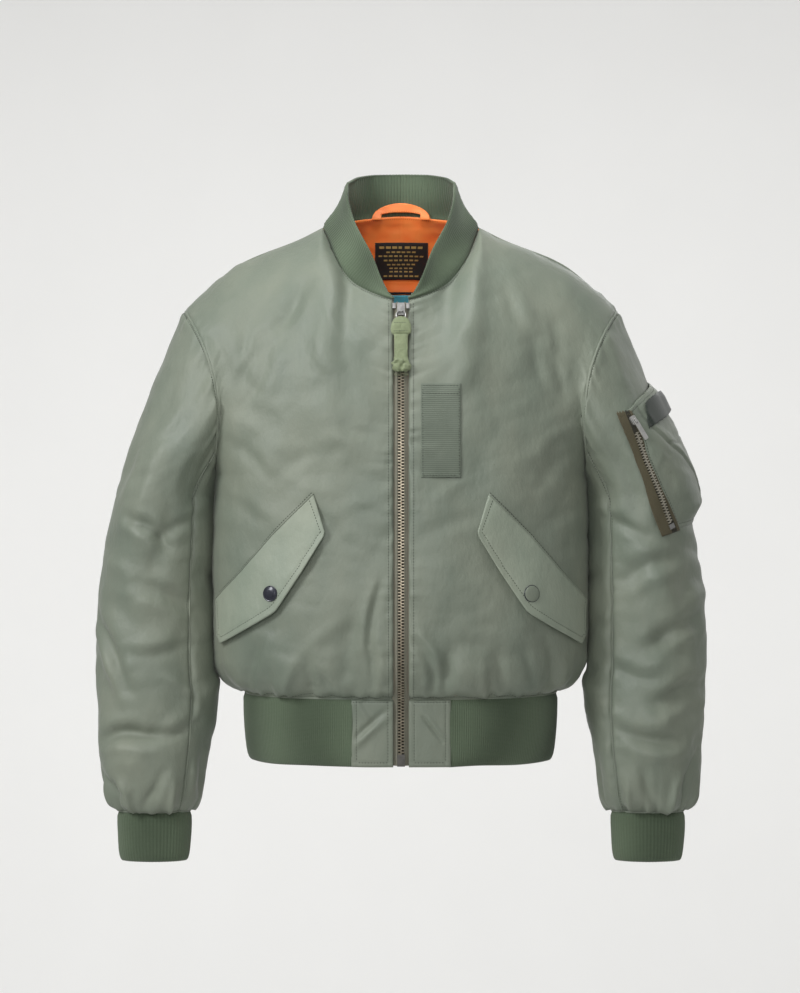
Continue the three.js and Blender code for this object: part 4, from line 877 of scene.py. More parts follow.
hemHeights = [-557.6, -560.6, -566, -574, -586, -600, -614, -625, -632, -636, -638.2]
hemBulge = [-3.4, -0.8, 1.2, 1.6, 1.8, 1.6, 1.4, 1.0, 0.2, -1.0, -2.4]
hemCount = 4 * 348 + 1
hemWave = softNoise(np.linspace(0, 1000, hemCount) + 100, np.zeros(hemCount), 5, 44)
rows, outs = zip(*[hemRow(h, b + 1.1 * hemWave, hemCount) for h, b in zip(hemHeights, hemBulge)])
hemGrid, hemOut = np.stack(rows), np.stack(outs)
hemSag = 0.9 * softNoise(np.linspace(0, 1000, hemCount), np.zeros(hemCount), 6, 60)
hemGrid[..., 2] += hemSag[None] * np.linspace(0.2, 1, len(rows))[:, None]
hemKnit = clothSheet("hem_knit", ribbed(hemGrid, hemOut), hemOut, knit["thickness"], flatGrid=hemGrid)

collarStart = form["zipHalfWidth"] / form["frontSpread"] / form["frontNeckShare"]


def collarPoint(share, rise, side, isBack):
    low = (backNeck if isBack else frontNeck)(share)
    high = (collarBack if isBack else collarFront)(share)
    hollow = -5 * math.sin(math.pi * rise) * (1 if isBack else smooth((share - collarStart) / 0.4))
    radius = np.hypot(low[0], low[1] + 12)
    return vec(
        side * (mix(low[0], high[0], rise) + hollow * low[0] / radius),
        mix(low[1], high[1], rise) + hollow * (low[1] + 12) / radius,
        mix(low[2], high[2], rise),
    )


collarRises = [-0.03, 0.012, 0.06, 0.13, 0.24, 0.38, 0.52, 0.66, 0.78, 0.87, 0.93, 0.97, 0.99]
collarCount = 4 * 150 + 1


def collarRow(rise):
    front = np.linspace(collarStart, 1, 120)
    rear = np.linspace(0, 1, 80)
    line = [collarPoint(front, rise, -1, False), collarPoint(rear, rise, -1, True)[::-1][1:]]
    line += [collarPoint(rear, rise, 1, True)[1:], collarPoint(front, rise, 1, False)[::-1][1:]]
    return resample(np.concatenate(line), collarCount)


collarGrid = np.stack([collarRow(rise) for rise in collarRises])
collarOut = gridNormals(collarGrid)
if collarOut[6, collarCount // 2, 1] < 0:
    collarOut = -collarOut
puff = [-2.0, -0.3, 1.3, 1.9, 1.7, 1.4, 1.3, 1.3, 1.3, 1.1, 0.7, 0.0, -0.9]
collarWave = softNoise(np.linspace(0, 480, collarCount) + 40, np.zeros(collarCount), 9, 38)
collarGrid = collarGrid + collarOut * (np.array(puff)[:, None] + 0.7 * collarWave[None])[..., None]
collarKnit = clothSheet(
    "collar_knit", ribbed(collarGrid, collarOut), collarOut, knit["thickness"], flatGrid=collarGrid
)

cuffHeights = [-697.4, -700.6, -706, -714, -724, -736, -746, -752, -756, -758]
cuffBulge = [-4.0, -1.2, 0.8, 1.4, 1.6, 1.5, 1.2, 0.6, -0.4, -1.8]
cuffPieces = {}
for name, side in (("right", -1), ("left", 1)):
    cuffCount = 4 * 64
    turns = np.arange(cuffCount) / cuffCount * 360
    rows = []
    for height, bulge in zip(cuffHeights, cuffBulge):
        ring = sleeveRing(np.full(cuffCount, -700.0), turns, side)
        shrink = 1 - 0.08 * (form["cuffSeam"] - height) / (form["cuffSeam"] - form["cuffBottom"])
        middle = np.array([side * 293.5, -26, 0])
        line = middle + (ring - middle) * shrink
        line[:, 2] = height
        out = unit(vec(line[:, 0] - middle[0], (line[:, 1] - middle[1]) * 1.6, 0))
        wave = softNoise(turns + 40, np.full(cuffCount, height + 800), 12 + side, 26)
        rows.append(line + out * (bulge + 0.5 * wave)[:, None])
    cuffGrid = np.stack(rows)
    cuffOut = gridNormals(cuffGrid, True)
    if np.sum(cuffOut * (cuffGrid - np.array([side * 293.5, -26, -730]))) < 0:
        cuffOut = -cuffOut
    cuffPieces[name] = clothSheet(
        "cuff_knit_" + name, ribbed(cuffGrid, cuffOut), cuffOut, knit["thickness"], True, cuffGrid
    )
print("knit made")


# Places on the finished cloth
def spotOn(panel, column, level):
    cols, levels = panel["cols"], panel["levels"]
    c = np.clip(np.interp(column, cols, np.arange(len(cols))), 0, len(cols) - 1.001)
    r = np.clip(np.interp(level, levels, np.arange(len(levels))), 0, len(levels) - 1.001)
    c0, r0 = np.floor(c).astype(int), np.floor(r).astype(int)
    fc, fr = (c - c0)[..., None], (r - r0)[..., None]
    found = []
    for grid in (panel["grid"], panel["normals"], panel["base"]):
        low = mix(grid[r0, c0], grid[r0, c0 + 1], fc)
        high = mix(grid[r0 + 1, c0], grid[r0 + 1, c0 + 1], fc)
        found.append(mix(low, high, fr))
    return found[0], unit(found[1]), found[2]


def frontSpot(side, x, z):
    panel = panels["front_left" if side > 0 else "front_right"]
    base = panel["base"]
    rows, cols = base.shape[:2]
    if "tree" not in panel:
        panel["tree"] = BVHTree.FromPolygons(base.reshape(-1, 3).tolist(), gridFaces(rows, cols))
    x, z = np.broadcast_arrays(np.asarray(x, float), np.asarray(z, float))
    share, level = np.zeros(x.size), np.zeros(x.size)
    for i, (atX, atZ) in enumerate(zip(x.ravel(), z.ravel())):
        face = None
        while face is None:
            face = panel["tree"].ray_cast(Vector((atX, -400, atZ)), Vector((0, 1, 0)), 390)[2]
            atX -= side * 0.4 if face is None else 0
        r, c = divmod(face, cols - 1)
        corners = base[r:r + 2, c:c + 2][..., [0, 2]]
        f = np.array([0.5, 0.5])
        for _ in range(3):
            low, high = mix(corners[0, 0], corners[0, 1], f[0]), mix(corners[1, 0], corners[1, 1], f[0])
            across = mix(corners[0, 1] - corners[0, 0], corners[1, 1] - corners[1, 0], f[1])
            f = f + np.linalg.solve(np.stack([across, high - low], 1), np.array([atX, atZ]) - mix(low, high, f[1]))
        f = np.clip(f, 0, 1)
        share[i] = mix(panel["cols"][c], panel["cols"][c + 1], f[0])
        level[i] = mix(panel["levels"][r], panel["levels"][r + 1], f[1])
    return spotOn(panel, share.reshape(x.shape), level.reshape(x.shape))


def laidOn(spots, lift, wrinkles=0.35):
    cloth, out, base = spots
    bump = np.sum((cloth - base) * out, -1)
    return base + out * np.maximum(bump + 0.3, lift + wrinkles * bump)[..., None], out


def coons(bottom, top, left, right, cols, rows):
    bottom, top = resample(bottom, cols), resample(top, cols)
    left, right = resample(left, rows), resample(right, rows)
    u = np.linspace(0, 1, cols)[None, :, None]
    v = np.linspace(0, 1, rows)[:, None, None]
    ruled = mix(bottom[None], top[None], v) + mix(left[:, None], right[:, None], u)
    corners = mix(mix(bottom[0], bottom[-1], u), mix(top[0], top[-1], u), v)
    return ruled - corners


def edgeDistance(grid):
    u, v = arcAlong(grid, 1), arcAlong(grid, 0)
    return u, u[:, -1:] - u, v, v[-1:] - v


# Small repeated things, modelled once
def template(name, adder, edits=None):
    bpy.ops.object.select_all(action="DESELECT")
    adder()
    made = bpy.context.object
    if edits:
        bpy.ops.object.mode_set(mode="EDIT")
        bpy.ops.mesh.select_all(action="SELECT")
        edits()
        bpy.ops.object.mode_set(mode="OBJECT")
    bpy.ops.object.transform_apply(location=True, rotation=True, scale=True)
    points = np.array([v.co for v in made.data.vertices]) / mm
    faces = [list(p.vertices) for p in made.data.polygons]
    bpy.data.objects.remove(made)
    return points, faces


def copies(name, shape, places, body="jacket", smoothFaces=True):
    points, faces = shape
    allPoints, allFaces = [], []
    for origin, right, up, out, size in places:
        start = len(allPoints) * len(points)
        local = points * np.asarray(size)
        allPoints.append(origin + local[:, :1] * right + local[:, 1:2] * up + local[:, 2:] * out)
        allFaces += [[i + start for i in face] for face in faces]
    return meshObject(name, np.concatenate(allPoints), allFaces, body, smoothFaces)


threadStitch = {"length": 2.2, "gap": 1.3, "width": 0.95, "height": 0.55}


def boxShape(width, height, depth):
    def add():
        bpy.ops.mesh.primitive_cube_add(size=1)
        bpy.ops.transform.resize(value=(width * mm, height * mm, depth * mm))

    return add


def roundEdges(offset, segments=1):
    return lambda: bpy.ops.mesh.bevel(offset=offset * mm, segments=segments, affect="EDGES")


stitchForm = template("stitch", lambda: bpy.ops.mesh.primitive_uv_sphere_add(
    segments=6, ring_count=5, radius=0.5 * mm
))
stopBlock = template("block", boxShape(3.8, 6.4, 2.6), roundEdges(0.9, 2))


def stitchPlaces(line, normals, sink=0.02, length=threadStitch["length"], size=1.0):
    steps = lengthAlong(line)
    pitch = length + threadStitch["gap"]
    places = []
    for i in range(int(steps[-1] / pitch)):
        ends = [i * pitch + 0.4, i * pitch + 0.4 + length]
        a, b = readAt(ends, steps, line)
        out = unit(readAt(sum(ends) / 2, steps, normals))
        along = unit(b - a)
        across = unit(np.cross(along, out))
        out = np.cross(across, along)
        middle = (a + b) / 2 - out * sink
        scale = (threadStitch["width"] * size, length * 1.15, threadStitch["height"] * size)
        places.append((middle, across, along, out, scale))
    return places


print("fitting ready")


# Centre front: zip tapes, teeth, slider, ring and webbing pull
zipFront = {
    "foot": -636.5, "top": -99, "chainFoot": 14, "chainTop": 14, "tapeDepth": 1.7, "tapeThick": 0.8,
    "pitch": 3.6, "tooth": (4.3, 1.3, 2.2), "toothOut": 1.5, "toothSink": 0.9, "cordRadius": 0.7, "cordOut": 4.5,
}


def centreFront(z):
    z = np.asarray(z, float)
    low = torsoPoint(np.minimum(z, form["armpit"]), np.zeros_like(z), 1, False)
    rises = np.linspace(0, 1, 200)
    line = upperPoint(rises, np.zeros(200), 1, False)
    high = vec(0 * z, np.interp(z, line[:, 2], line[:, 1]), z)
    return np.where((z <= form["armpit"])[:, None], low, high)


zipLine = centreFront(np.arange(zipFront["foot"], zipFront["top"], 1.0))
spread = bell(np.arange(-24, 25), 10.0)
zipLine[:, 1] = np.convolve(np.pad(zipLine[:, 1], 24, "edge"), spread / spread.sum(), "valid")
zipUp = unit(np.gradient(zipLine, axis=0))
zipOut = np.cross(zipUp, np.array([1.0, 0, 0]))
if zipOut[0, 1] > 0:
    zipOut = -zipOut
zipSteps = lengthAlong(zipLine)


def onZip(at, aside, outward):
    middle, up, out = [readAt(at, zipSteps, values) for values in (zipLine, zipUp, zipOut)]
    return middle + right * aside + out * outward, right, up, out, (1, 1, 1)


right = np.array([1.0, 0, 0])
for name, side in (("right", -1), ("left", 1)):
    across = np.array([0.12, 1.6, 2.6, 3.2, 4.2, 5.6, 6.8, 7.8, 8.8, 10.2])
    depth = -zipFront["tapeDepth"] - 1.5 * smooth((across - 5.8) / 2.4) - 1.3 * smooth((3.4 - across) / 1.6)
    every = zipLine[::4]
    grid = every[:, None] + side * across[None, :, None] * right + depth[None, :, None] * zipOut[::4][:, None]
    grid += zipOut[::4][:, None] * (0.16 * np.sin(np.arange(len(every)) * 0.7))[:, None, None]
    out = np.broadcast_to(zipOut[::4][:, None], grid.shape)
    piece = clothSheet("zip_tape_cloth_" + name, grid, out, zipFront["tapeThick"])
    dress(piece, "zip_tape", "zipTape", "zipTape", "chainGapShade", "chainGapShade")
    # Faces under the chain take the painted shade between the teeth
    for face in piece.data.polygons:
        if face.index % (len(across) - 1) < 3:
            face.material_index = 2
    applyModifiers(piece)
    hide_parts("zip_tape_" + name)


tooth = template("tooth", boxShape(*zipFront["tooth"]), roundEdges(0.4))
places = []
for i in range(int((zipSteps[-1] - zipFront["chainFoot"] - zipFront["chainTop"]) / (zipFront["pitch"] / 2))):
    at = zipFront["chainFoot"] + i * zipFront["pitch"] / 2
    places.append(onZip(at, zipFront["toothOut"] * (1 if i % 2 else -1), -zipFront["toothSink"]))
zipTeeth = copies("zip_teeth", tooth, places, smoothFaces=False)
dress(zipTeeth, "zip_brass", "brass")
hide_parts("zip_chain")


def tubeMesh(name, line, radius, sides=8, body="jacket"):
    line = np.asarray(line, float)
    along = unit(np.gradient(line, axis=0))
    across = unit(np.cross(along, np.array([0.31, 0.9, 0.2])))
    over = np.cross(along, across)
    angle = np.arange(sides) / sides * 2 * math.pi
    size = np.broadcast_to(np.asarray(radius, float), (len(line),))[:, None, None]
    ring = np.cos(angle)[None, :, None] * across[:, None] + np.sin(angle)[None, :, None] * over[:, None]
    points = line[:, None] + ring * size
    faces = gridFaces(len(line), sides, True, True)
    faces += [list(range(sides)), list(range(len(line) * sides - 1, (len(line) - 1) * sides - 1, -1))]
    return meshObject(name, points, faces, body)


for name, side in (("right", -1), ("left", 1)):
    bead = zipLine[::3] + right * side * zipFront["cordOut"] - zipOut[::3] * 1.5
    piece = tubeMesh("zip_cord_" + name, bead, zipFront["cordRadius"], 6)
    dress(piece, "zip_tape", "zipTape")


stops = copies("zip_top_stops", stopBlock, [onZip(zipSteps[-1] - 5, aside, 0.3) for aside in (-8.0, 8.0)])
dress(stops, "zip_brass", "steel")

# Metal pieces that keep the shape the solids have
# The sleeve slider and pull take the nickel painted bright for highlights
metalNodes = {
    "zip_slider": "steel", "pull_ring": "steel", "zip_box": "darkSteel", "sleeve_slider": "steelPaintedBright",
    "sleeve_pull_tab": "steelPaintedBright",
}
for node, look in metalNodes.items():
    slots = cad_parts[node].data.materials
    if len(slots):
        for i in range(len(slots)):
            slots[i] = finish[look]
    else:
        slots.append(finish[look])

# Webbing pull: folded over the ring into a broad head, knotted and frayed at its end
pull = {"length": 67, "raise": 2.2, "thick": 3.0, "rows": 76, "cols": 25}
pullProfile = curveTable([
    (0, 3.5), (0.02, 6.2), (0.06, 9.2), (0.13, 11.2), (0.22, 12.0), (0.29, 11.6), (0.315, 9.6), (0.345, 8.1),
    (0.5, 7.9), (0.72, 8.0), (0.77, 9.2), (0.82, 11.6), (0.88, 12.4), (0.94, 11.2), (0.98, 9.0), (1, 7.2),
])
low, high = [np.array(corner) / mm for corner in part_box("pull_webbing")]
pullMiddle = (low + high) / 2
hangUp, hangOut = np.array([0, 0.233, 0.972]), np.array([0, -0.972, 0.233])
vv, uu = np.meshgrid(np.linspace(0, 1, pull["rows"]), np.linspace(-1, 1, pull["cols"]), indexing="ij")
knot = smooth((vv - 0.75) / 0.06)
ragged = softNoise(vv * 90 + 60, np.sign(uu) * 20 + 60, 34, 5)
halfWide = pullProfile(vv)[0] * (1 - 0.12 * knot) + (0.25 + 1.8 * knot) * ragged
puffy = 0.5 + 1.5 * bell(vv - 0.17, 0.1) + 2.3 * knot
relief = puffy * (1 - np.abs(uu) ** 3) + 0.5 * softNoise(vv * 60 + 50, uu * 9 + 50, 31, 5)
relief += knot * 2.6 * softNoise(vv * 62 + 200, uu * 11 + 50, 32, 3.6)
relief += 0.35 * softNoise(vv * 62 + 300, uu * 9 + 70, 35, 1.3)
relief -= 1.5 * bell(vv - 0.315, 0.014) + 1.1 * bell(uu, 0.1) * bell(vv - 0.22, 0.07)
front = pullMiddle + hangUp * (pull["raise"] + pull["length"] * (0.5 - vv))[..., None]
front = front + right * (uu * halfWide)[..., None]
front = front + hangOut * (pull["thick"] / 2 - 0.4 + relief - 0.9 * np.abs(uu) ** 6)[..., None]
pullCloth = clothSheet(
    "pull_webbing_cloth", front, np.broadcast_to(hangOut, front.shape), pull["thick"], body="front_pull"
)
finishPiece(pullCloth, "pull_webbing", "pull_webbing", "pull", "pull")
bars = []
for row in (int(0.12 * pull["rows"]), int(0.27 * pull["rows"])):
    bars += stitchPlaces(front[row, 3:-3], np.broadcast_to(hangOut, front[row, 3:-3].shape), -0.1, 1.6, 0.9)
pullStitches = copies("pull_stitches", stitchForm, bars, "front_pull")
# The pull's bar tacks take the thread painted dark for stitch shade
dress(pullStitches, "pull_webbing", "thread")
random.seed(4)
frayLines, frayFaces = [], []
for i in range(190):
    start = pullMiddle - hangUp * pull["length"] / 2
    start = start + right * random.uniform(-8, 8) + hangOut * random.uniform(-1.1, 1.1)
    if i > 40:
        row = random.randint(int(0.76 * pull["rows"]), pull["rows"] - 1)
        start = front[row, random.randint(0, pull["cols"] - 1)]
    bend = right * random.uniform(-1.6, 1.6) + hangOut * random.uniform(-0.2, 1.6)
    bend = bend + hangUp * random.uniform(-0.6, 1.4)
    reach = random.uniform(1.2, 4.2)
    for t in (0, 0.5, 1):
        point = start + hangUp * 0.6 - hangUp * (reach + 0.6) * t + bend * t * t
        for k in range(3):
            turn = k / 3 * 2 * math.pi
            frayLines.append(point + (right * math.cos(turn) + hangOut * math.sin(turn)) * (0.2 - 0.08 * t))
    first = i * 9
    frayFaces += [[first + k for k in quad] for quad in gridFaces(3, 3, True)]
    frayFaces += [[first + 2, first + 1, first], [first + 6, first + 7, first + 8]]
fray = meshObject("pull_fray", np.array(frayLines), frayFaces, "front_pull")
dress(fray, "pull_webbing", "pull")
print("front zip ready")


# Hem tabs: shell cloth beside the zip, topstitched
hemTab = {"thickness": 2.4, "outer": 57.2, "inner": 8.9, "edgeStitch": 6.5}
tabCreases = [
    (-20, -575, -52, -604, 4.2, -3.2, 0), (-24, -584, -52, -612, 4.0, 1.8, 0), (27, -582, 47, -608, 2.2, -2.6, 0),
    (-50, -566, -38, -584, 3.5, 1.4, 0),
]
tabGrids = {}
for name, side in (("right", -1), ("left", 1)):
    shares = np.linspace(hemTab["inner"], hemTab["outer"], 40) / form["frontSpread"]
    levels = np.linspace(-560.3, -638, 60)
    level, share = np.meshgrid(levels, shares, indexing="ij")
    plain = torsoPoint(level, share, side, False)
    out = gridNormals(plain)
    out = out if out[30, 20, 1] < 0 else -out
    toInner, toOuter, toTop, toFoot = edgeDistance(plain)
    lift = 1.7 + 0.8 * softNoise(share * 300 + 60, level + 900, 60 + side, 24)
    lift += 0.5 * softNoise(share * 300 + 60, (level + 900) * 0.3, 63 + side, 7) * np.exp(-toTop / 12)
    lift -= 1.9 * bell(toTop, 2.2) + 0.9 * bell(toFoot, 1.3) + 0.7 * bell(toInner, 1.2)
    lift -= 0.5 * bell(toOuter - hemTab["edgeStitch"], 0.9) + 0.8 * bell(toOuter, 1.4)
    lift -= 0.45 * bell(toFoot - 5.8, 0.9) + 0.4 * bell(toInner - 6.2, 0.9)
    for crease in tabCreases:
        lift += creaseShape(plain[..., 0], plain[..., 2], crease) * smooth(toOuter / 8) * smooth(toInner / 8)
    grid = plain + out * lift[..., None]
    piece = clothSheet("hem_tab_cloth_" + name, grid, out, hemTab["thickness"])
    finishPiece(piece, "hem_tab_" + name, "shell", "shell", "shell")
    tabGrids[name] = (grid, out)
print("hem tabs ready")


# Pocket flaps, their snaps and the patch on the chest
flap = {"thick": 1.8, "free": 5.0, "lift": 0.8, "stitchIn": 8.2}
flapEdges = {
    "seam": [(100.6, -323), (150, -372), (186, -414), (219, -448)],
    "free": [
        (86.4, -365), (87.6, -371), (112, -412), (136.5, -450.5), (141.5, -457.5), (147, -461.8), (172, -477.5),
        (207, -498),
    ],
    "upper": [(100.6, -323), (86.4, -367)],
    "lower": [(219, -448), (214, -489), (207, -498)],
}
seamFrom, seamTo = np.array([100.6, -323.0]), np.array([219.0, -448.0])
flapSheets = {}
for name, side in (("right", -1), ("left", 1)):
    spots = coons(flapEdges["seam"], flapEdges["free"], flapEdges["upper"], flapEdges["lower"], 72, 44)
    chord = unit(seamTo - seamFrom)
    fromSeam = np.abs((spots[..., 0] - seamFrom[0]) * chord[1] - (spots[..., 1] - seamFrom[1]) * chord[0])
    toUpper, toLower, toSeam, toFree = edgeDistance(np.concatenate([spots, 0 * spots[..., :1]], -1))
    edge = np.minimum(np.minimum(toUpper, toLower), toFree)
    lift = flap["lift"] + flap["free"] * smooth(fromSeam / 60) + flap["thick"]
    lift = lift + 0.55 * softNoise(spots[..., 0] + 300, spots[..., 1] + 900, 90 + side, 26)
    lift += 0.8 * bell(np.minimum(toFree, toUpper), 3.4) * smooth(fromSeam / 14) - 0.7 * bell(edge, 0.8)
    lift -= 0.45 * bell(edge - flap["stitchIn"], 0.9)
    lift -= 0.5 * bell(toSeam, 1.5)
    grid, out = laidOn(frontSpot(side, side * spots[..., 0], spots[..., 1]), lift, 0.3)
    piece = clothSheet("pocket_flap_cloth_" + name, grid, out, flap["thick"])
    # The flap's outer faces take the lighter copy of the shell nylon, painted light
    finishPiece(piece, "pocket_flap_" + name, "shell", "flap", "flap")
    flapSheets[name] = (grid, out)
print("flaps ready")

snap = {"x": 150.5, "z": -438, "radius": 9.2, "rim": 1.3, "ring": 9.5, "ringThick": 0.6}


def nearestSpot(grid, out, x, z):
    away = np.hypot(grid[..., 0] - x, grid[..., 2] - z)
    at = np.unravel_index(np.argmin(away), away.shape)
    return grid[at], out[at]


def snapPiece(name, side, crown, look, slotName):
    middle, face = nearestSpot(*flapSheets[name], side * snap["x"], snap["z"])
    bpy.ops.object.select_all(action="DESELECT")
    bpy.ops.mesh.primitive_circle_add(vertices=40, radius=snap["radius"] * mm, fill_type="NGON")
    cap = bpy.context.object
    cap.name = "snap_cap_" + name
    bpy.ops.object.mode_set(mode="EDIT")
    bpy.ops.mesh.select_all(action="SELECT")
    bpy.ops.mesh.extrude_region_move(TRANSFORM_OT_translate={"value": (0, 0, snap["rim"] * mm)})
    for inset, rise in crown:
        bpy.ops.mesh.inset(thickness=inset * mm)
        bpy.ops.transform.translate(value=(0, 0, rise * mm))
    bpy.ops.object.mode_set(mode="OBJECT")
    turn = Vector(face.tolist()).to_track_quat("Z", "Y")
    cap.matrix_world = turn.to_matrix().to_4x4()
    cap.location = Vector(((middle + face * 0.1) * mm).tolist())
    bpy.ops.object.transform_apply(location=True, rotation=True, scale=True)
    edges = cap.modifiers.new("edges", "BEVEL")
    edges.width, edges.segments, edges.limit_method = 0.35 * mm, 2, "ANGLE"
    applyModifiers(cap)
    bpy.ops.object.select_all(action="DESELECT")
    cap.select_set(True)
    bpy.context.view_layer.objects.active = cap
    bpy.ops.object.shade_smooth_by_angle(angle=0.6)
    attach(cap, "jacket")
    dress(cap, slotName, look)
    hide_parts("snap_" + name)
    return middle, face


metalCrown = [(0.5, 0.25), (0.7, -0.3), (0.6, 0.05), (0.9, 0.5), (1.8, 0.45), (2.0, 0.15)]
clothCrown = [(0.8, 0.35), (1.2, 0.3), (2.0, 0.3), (2.4, 0.1)]
snapPiece("right", -1, metalCrown, "enamel", "snap")
middle, face = snapPiece("left", 1, clothCrown, "shell", "snap_covered")


ringForm = template("ring", lambda: bpy.ops.mesh.primitive_torus_add(
    major_segments=36, minor_segments=8, major_radius=snap["ring"] * mm, minor_radius=snap["ringThick"] * mm
))
turn = unit(np.cross(face, np.array([0, 0, 1.0])))
rimRing = copies("snap_rim_left", ringForm, [(middle + face * 0.15, turn, np.cross(face, turn), face, (1, 1, 1))])
dress(rimRing, "snap", "enamel")

patch = {"x": (23, 69), "z": (-304, -196), "thick": 1.6, "stitchIn": 2.4}
px, pz = np.meshgrid(np.linspace(*patch["x"], 44), np.linspace(*patch["z"], 92))
edge = np.minimum.reduce(edgeDistance(vec(px, 0, pz)))
lift = 1.75 + 0.25 * softNoise(px + 50, pz + 500, 77, 22) - 0.6 * bell(edge, 0.8)
lift -= 0.3 * bell(edge - patch["stitchIn"], 0.7)
patchGrid, patchOut = laidOn(frontSpot(1, px, pz), lift, 0.6)
patchCloth = clothSheet("chest_patch_webbing", patchGrid, patchOut, patch["thick"])
finishPiece(patchCloth, "chest_patch", "webbing", "webbing", "webbing")
print("chest patch ready")


# Inside the back of the neck: quilted lining, label, size tab and hanger loop
neckInside = {"inset": 3.9, "share": 0.45, "foot": -170, "thick": 1.1, "behind": 2.0, "least": 2.2}
keepRows = rightBack[4] >= neckInside["foot"]
keepCols = rightBack[3] <= neckInside["share"]
shellSpot, yokeOut, yokeBase = [
    joinHalves(*[half[k][keepRows][:, keepCols] for half in (rightBack, leftBack)]) for k in (0, 1, 2)
]
width, height = arcAlong(yokeBase, 1), arcAlong(yokeBase, 0)
fromTop = height[-1:] - height
pads = 0.8 * softNoise(width + 90, height + 40, 21, 26) + 0.5 * softNoise(width + 90, height + 40, 22, 11)
pads -= 0.9 * bell(fromTop - 4, 1.2) + 0.9 * bell(fromTop - 38, 2.2) * (np.abs(yokeBase[..., 0]) > 34)
drape = 0.9 * softNoise(width * 0.5 + 200, fromTop * 2 + 40, 23, 13) * smooth(fromTop / 12)
inset = neckInside["inset"] - (pads + drape) * smooth(fromTop / 2.5) * 0.9 + 1.3 * np.exp(-fromTop / 5)
# The lining stays behind the shell where that is creased inwards
sunk = np.sum((yokeBase - shellSpot) * yokeOut, axis=-1) + neckInside["behind"]
yokeGrid = yokeBase - yokeOut * np.maximum(inset, np.maximum(sunk, neckInside["least"]))[..., None]
risers = [yokeGrid[-1] + np.array(step) for step in ((0, -0.9, 1.2), (0, -0.6, 2.6), (0, 1.2, 3.2), (0, 3.4, 3.3))]
yokeGrid = np.concatenate([yokeGrid, np.stack(risers)])
yokeOut = np.concatenate([yokeOut, np.repeat(yokeOut[-1:], 4, axis=0)])
yoke = clothSheet("neck_lining", yokeGrid, -yokeOut, neckInside["thick"])
finishPiece(yoke, "lining_yoke", "lining", "lining", "lining")
yokeTree = BVHTree.FromPolygons((yokeGrid.reshape(-1, 3)).tolist(), gridFaces(*yokeGrid.shape[:2]))


def onLining(x, z, lift):
    x, z = np.broadcast_arrays(np.asarray(x, float), np.asarray(z, float))
    points, outs = np.zeros((x.size, 3)), np.zeros((x.size, 3))
    for i, (atX, atZ) in enumerate(zip(x.ravel(), z.ravel())):
        hit, normal = yokeTree.ray_cast(Vector((atX, -20, atZ)), Vector((0, 1, 0)))[:2]
        points[i] = hit
        outs[i] = normal if normal.y < 0 else -normal
    outs = outs.reshape(x.shape + (3,))
    for _ in range(6):
        outs[1:-1] = (outs[:-2] + outs[2:] + outs[1:-1]) / 3
    return points.reshape(x.shape + (3,)) + unit(outs) * np.asarray(lift)[..., None], unit(outs)


def flatPiece(name, x, z, cols, rows, lift, thick, slotName, look, node=None):
    px, pz = np.meshgrid(np.linspace(*x, cols), np.linspace(*z, rows))
    edge = np.minimum.reduce(edgeDistance(vec(px, 0, pz)))
    grid, out = onLining(px, pz, lift + thick - 0.35 * bell(edge, 0.7))
    piece = clothSheet(name, grid, out, thick)
    dress(piece, slotName, look, look)
    applyModifiers(piece)
    if node:
        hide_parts(node)
    return piece


flatPiece("neck_label_cloth", (-31.5, 33), (-58.5, -13.5), 30, 24, 0.9, 0.8, "label", "label", "neck_label")
flatPiece("size_tab_cloth", (-17, 15), (-87, -77), 16, 10, 1.2, 0.8, "tab_blue", "tab", "size_tab")
# Painted shadow: a thin black strip above the size tab stands for the shade line under the lining's edge
liningShadowStrip = flatPiece("lining_shadow_strip", (-26, 26), (-76, -73.2), 20, 4, 1.2, 0.7, "label", "label")


barForm = template("bar", boxShape(1, 1, 0.3))
# Generic rows of plain short bars, no lettering
labelRows = [
    (-19.4, 2.9, [6, 6, 6, 6, 6, 6, 6]), (-24.8, 1.9, [4.5] * 6), (-29.6, 1.9, [4.5] * 9), (-34.6, 1.9, [4.5] * 7),
    (-39.6, 1.7, [4.2] * 6), (-44.2, 1.6, [4.2] * 5), (-48.6, 1.6, [4.2] * 5), (-53.8, 1.9, [4.5] * 7),
]
places = []
for z, tall, lengths in labelRows:
    total = sum(lengths) + 1.7 * (len(lengths) - 1)
    x = -total / 2
    for length in lengths:
        spot, out = [found[0, 0] for found in onLining([[x + length / 2]], [[z]], [[0.9 + 0.8 + 0.12]])]
        up = unit(np.array([0, 0, 1.0]) - out * out[2])
        places.append((spot, np.cross(up, out), up, out, (length, tall, 1)))
        x += length + 1.7
labelBars = copies("label_bars", barForm, places, smoothFaces=False)
dress(labelBars, "label", "gold")

# Hanger loop: a folded strip, its feet caught in the neck seam
hanger = {"foot": 12.0, "top": 33.0, "outer": 35.5, "thick": 1.3, "rows": 9, "cols": 60}
t = np.linspace(0, 1, hanger["cols"])
outerX = hanger["outer"] * np.cos(math.pi * (1 - t)) * (1 - 0.16 * np.sin(math.pi * t) ** 2)
outerZ = hanger["foot"] + (hanger["top"] - hanger["foot"]) * np.sin(math.pi * t) ** 0.8
innerX = 24.0 * np.cos(math.pi * (1 - t))
innerX = np.sign(innerX) * np.minimum(np.abs(innerX) * 1.12, 24.0)
innerZ = hanger["foot"] + (hanger["top"] - 11.0 - hanger["foot"]) * np.sin(math.pi * t) ** 0.42
s = np.linspace(0, 1, hanger["rows"])[:, None]
loopX, loopZ = mix(outerX[None], innerX[None], s), mix(outerZ[None], innerZ[None], s)
loopY = 60.5 + 3.2 * smooth((loopZ - hanger["foot"]) / 14) + 0.3 * softNoise(loopX + 90, loopZ + 90, 25, 9)
loopGrid = vec(loopX, loopY + 0.25 * bell((s - 0.86) * 8, 0.8), loopZ)
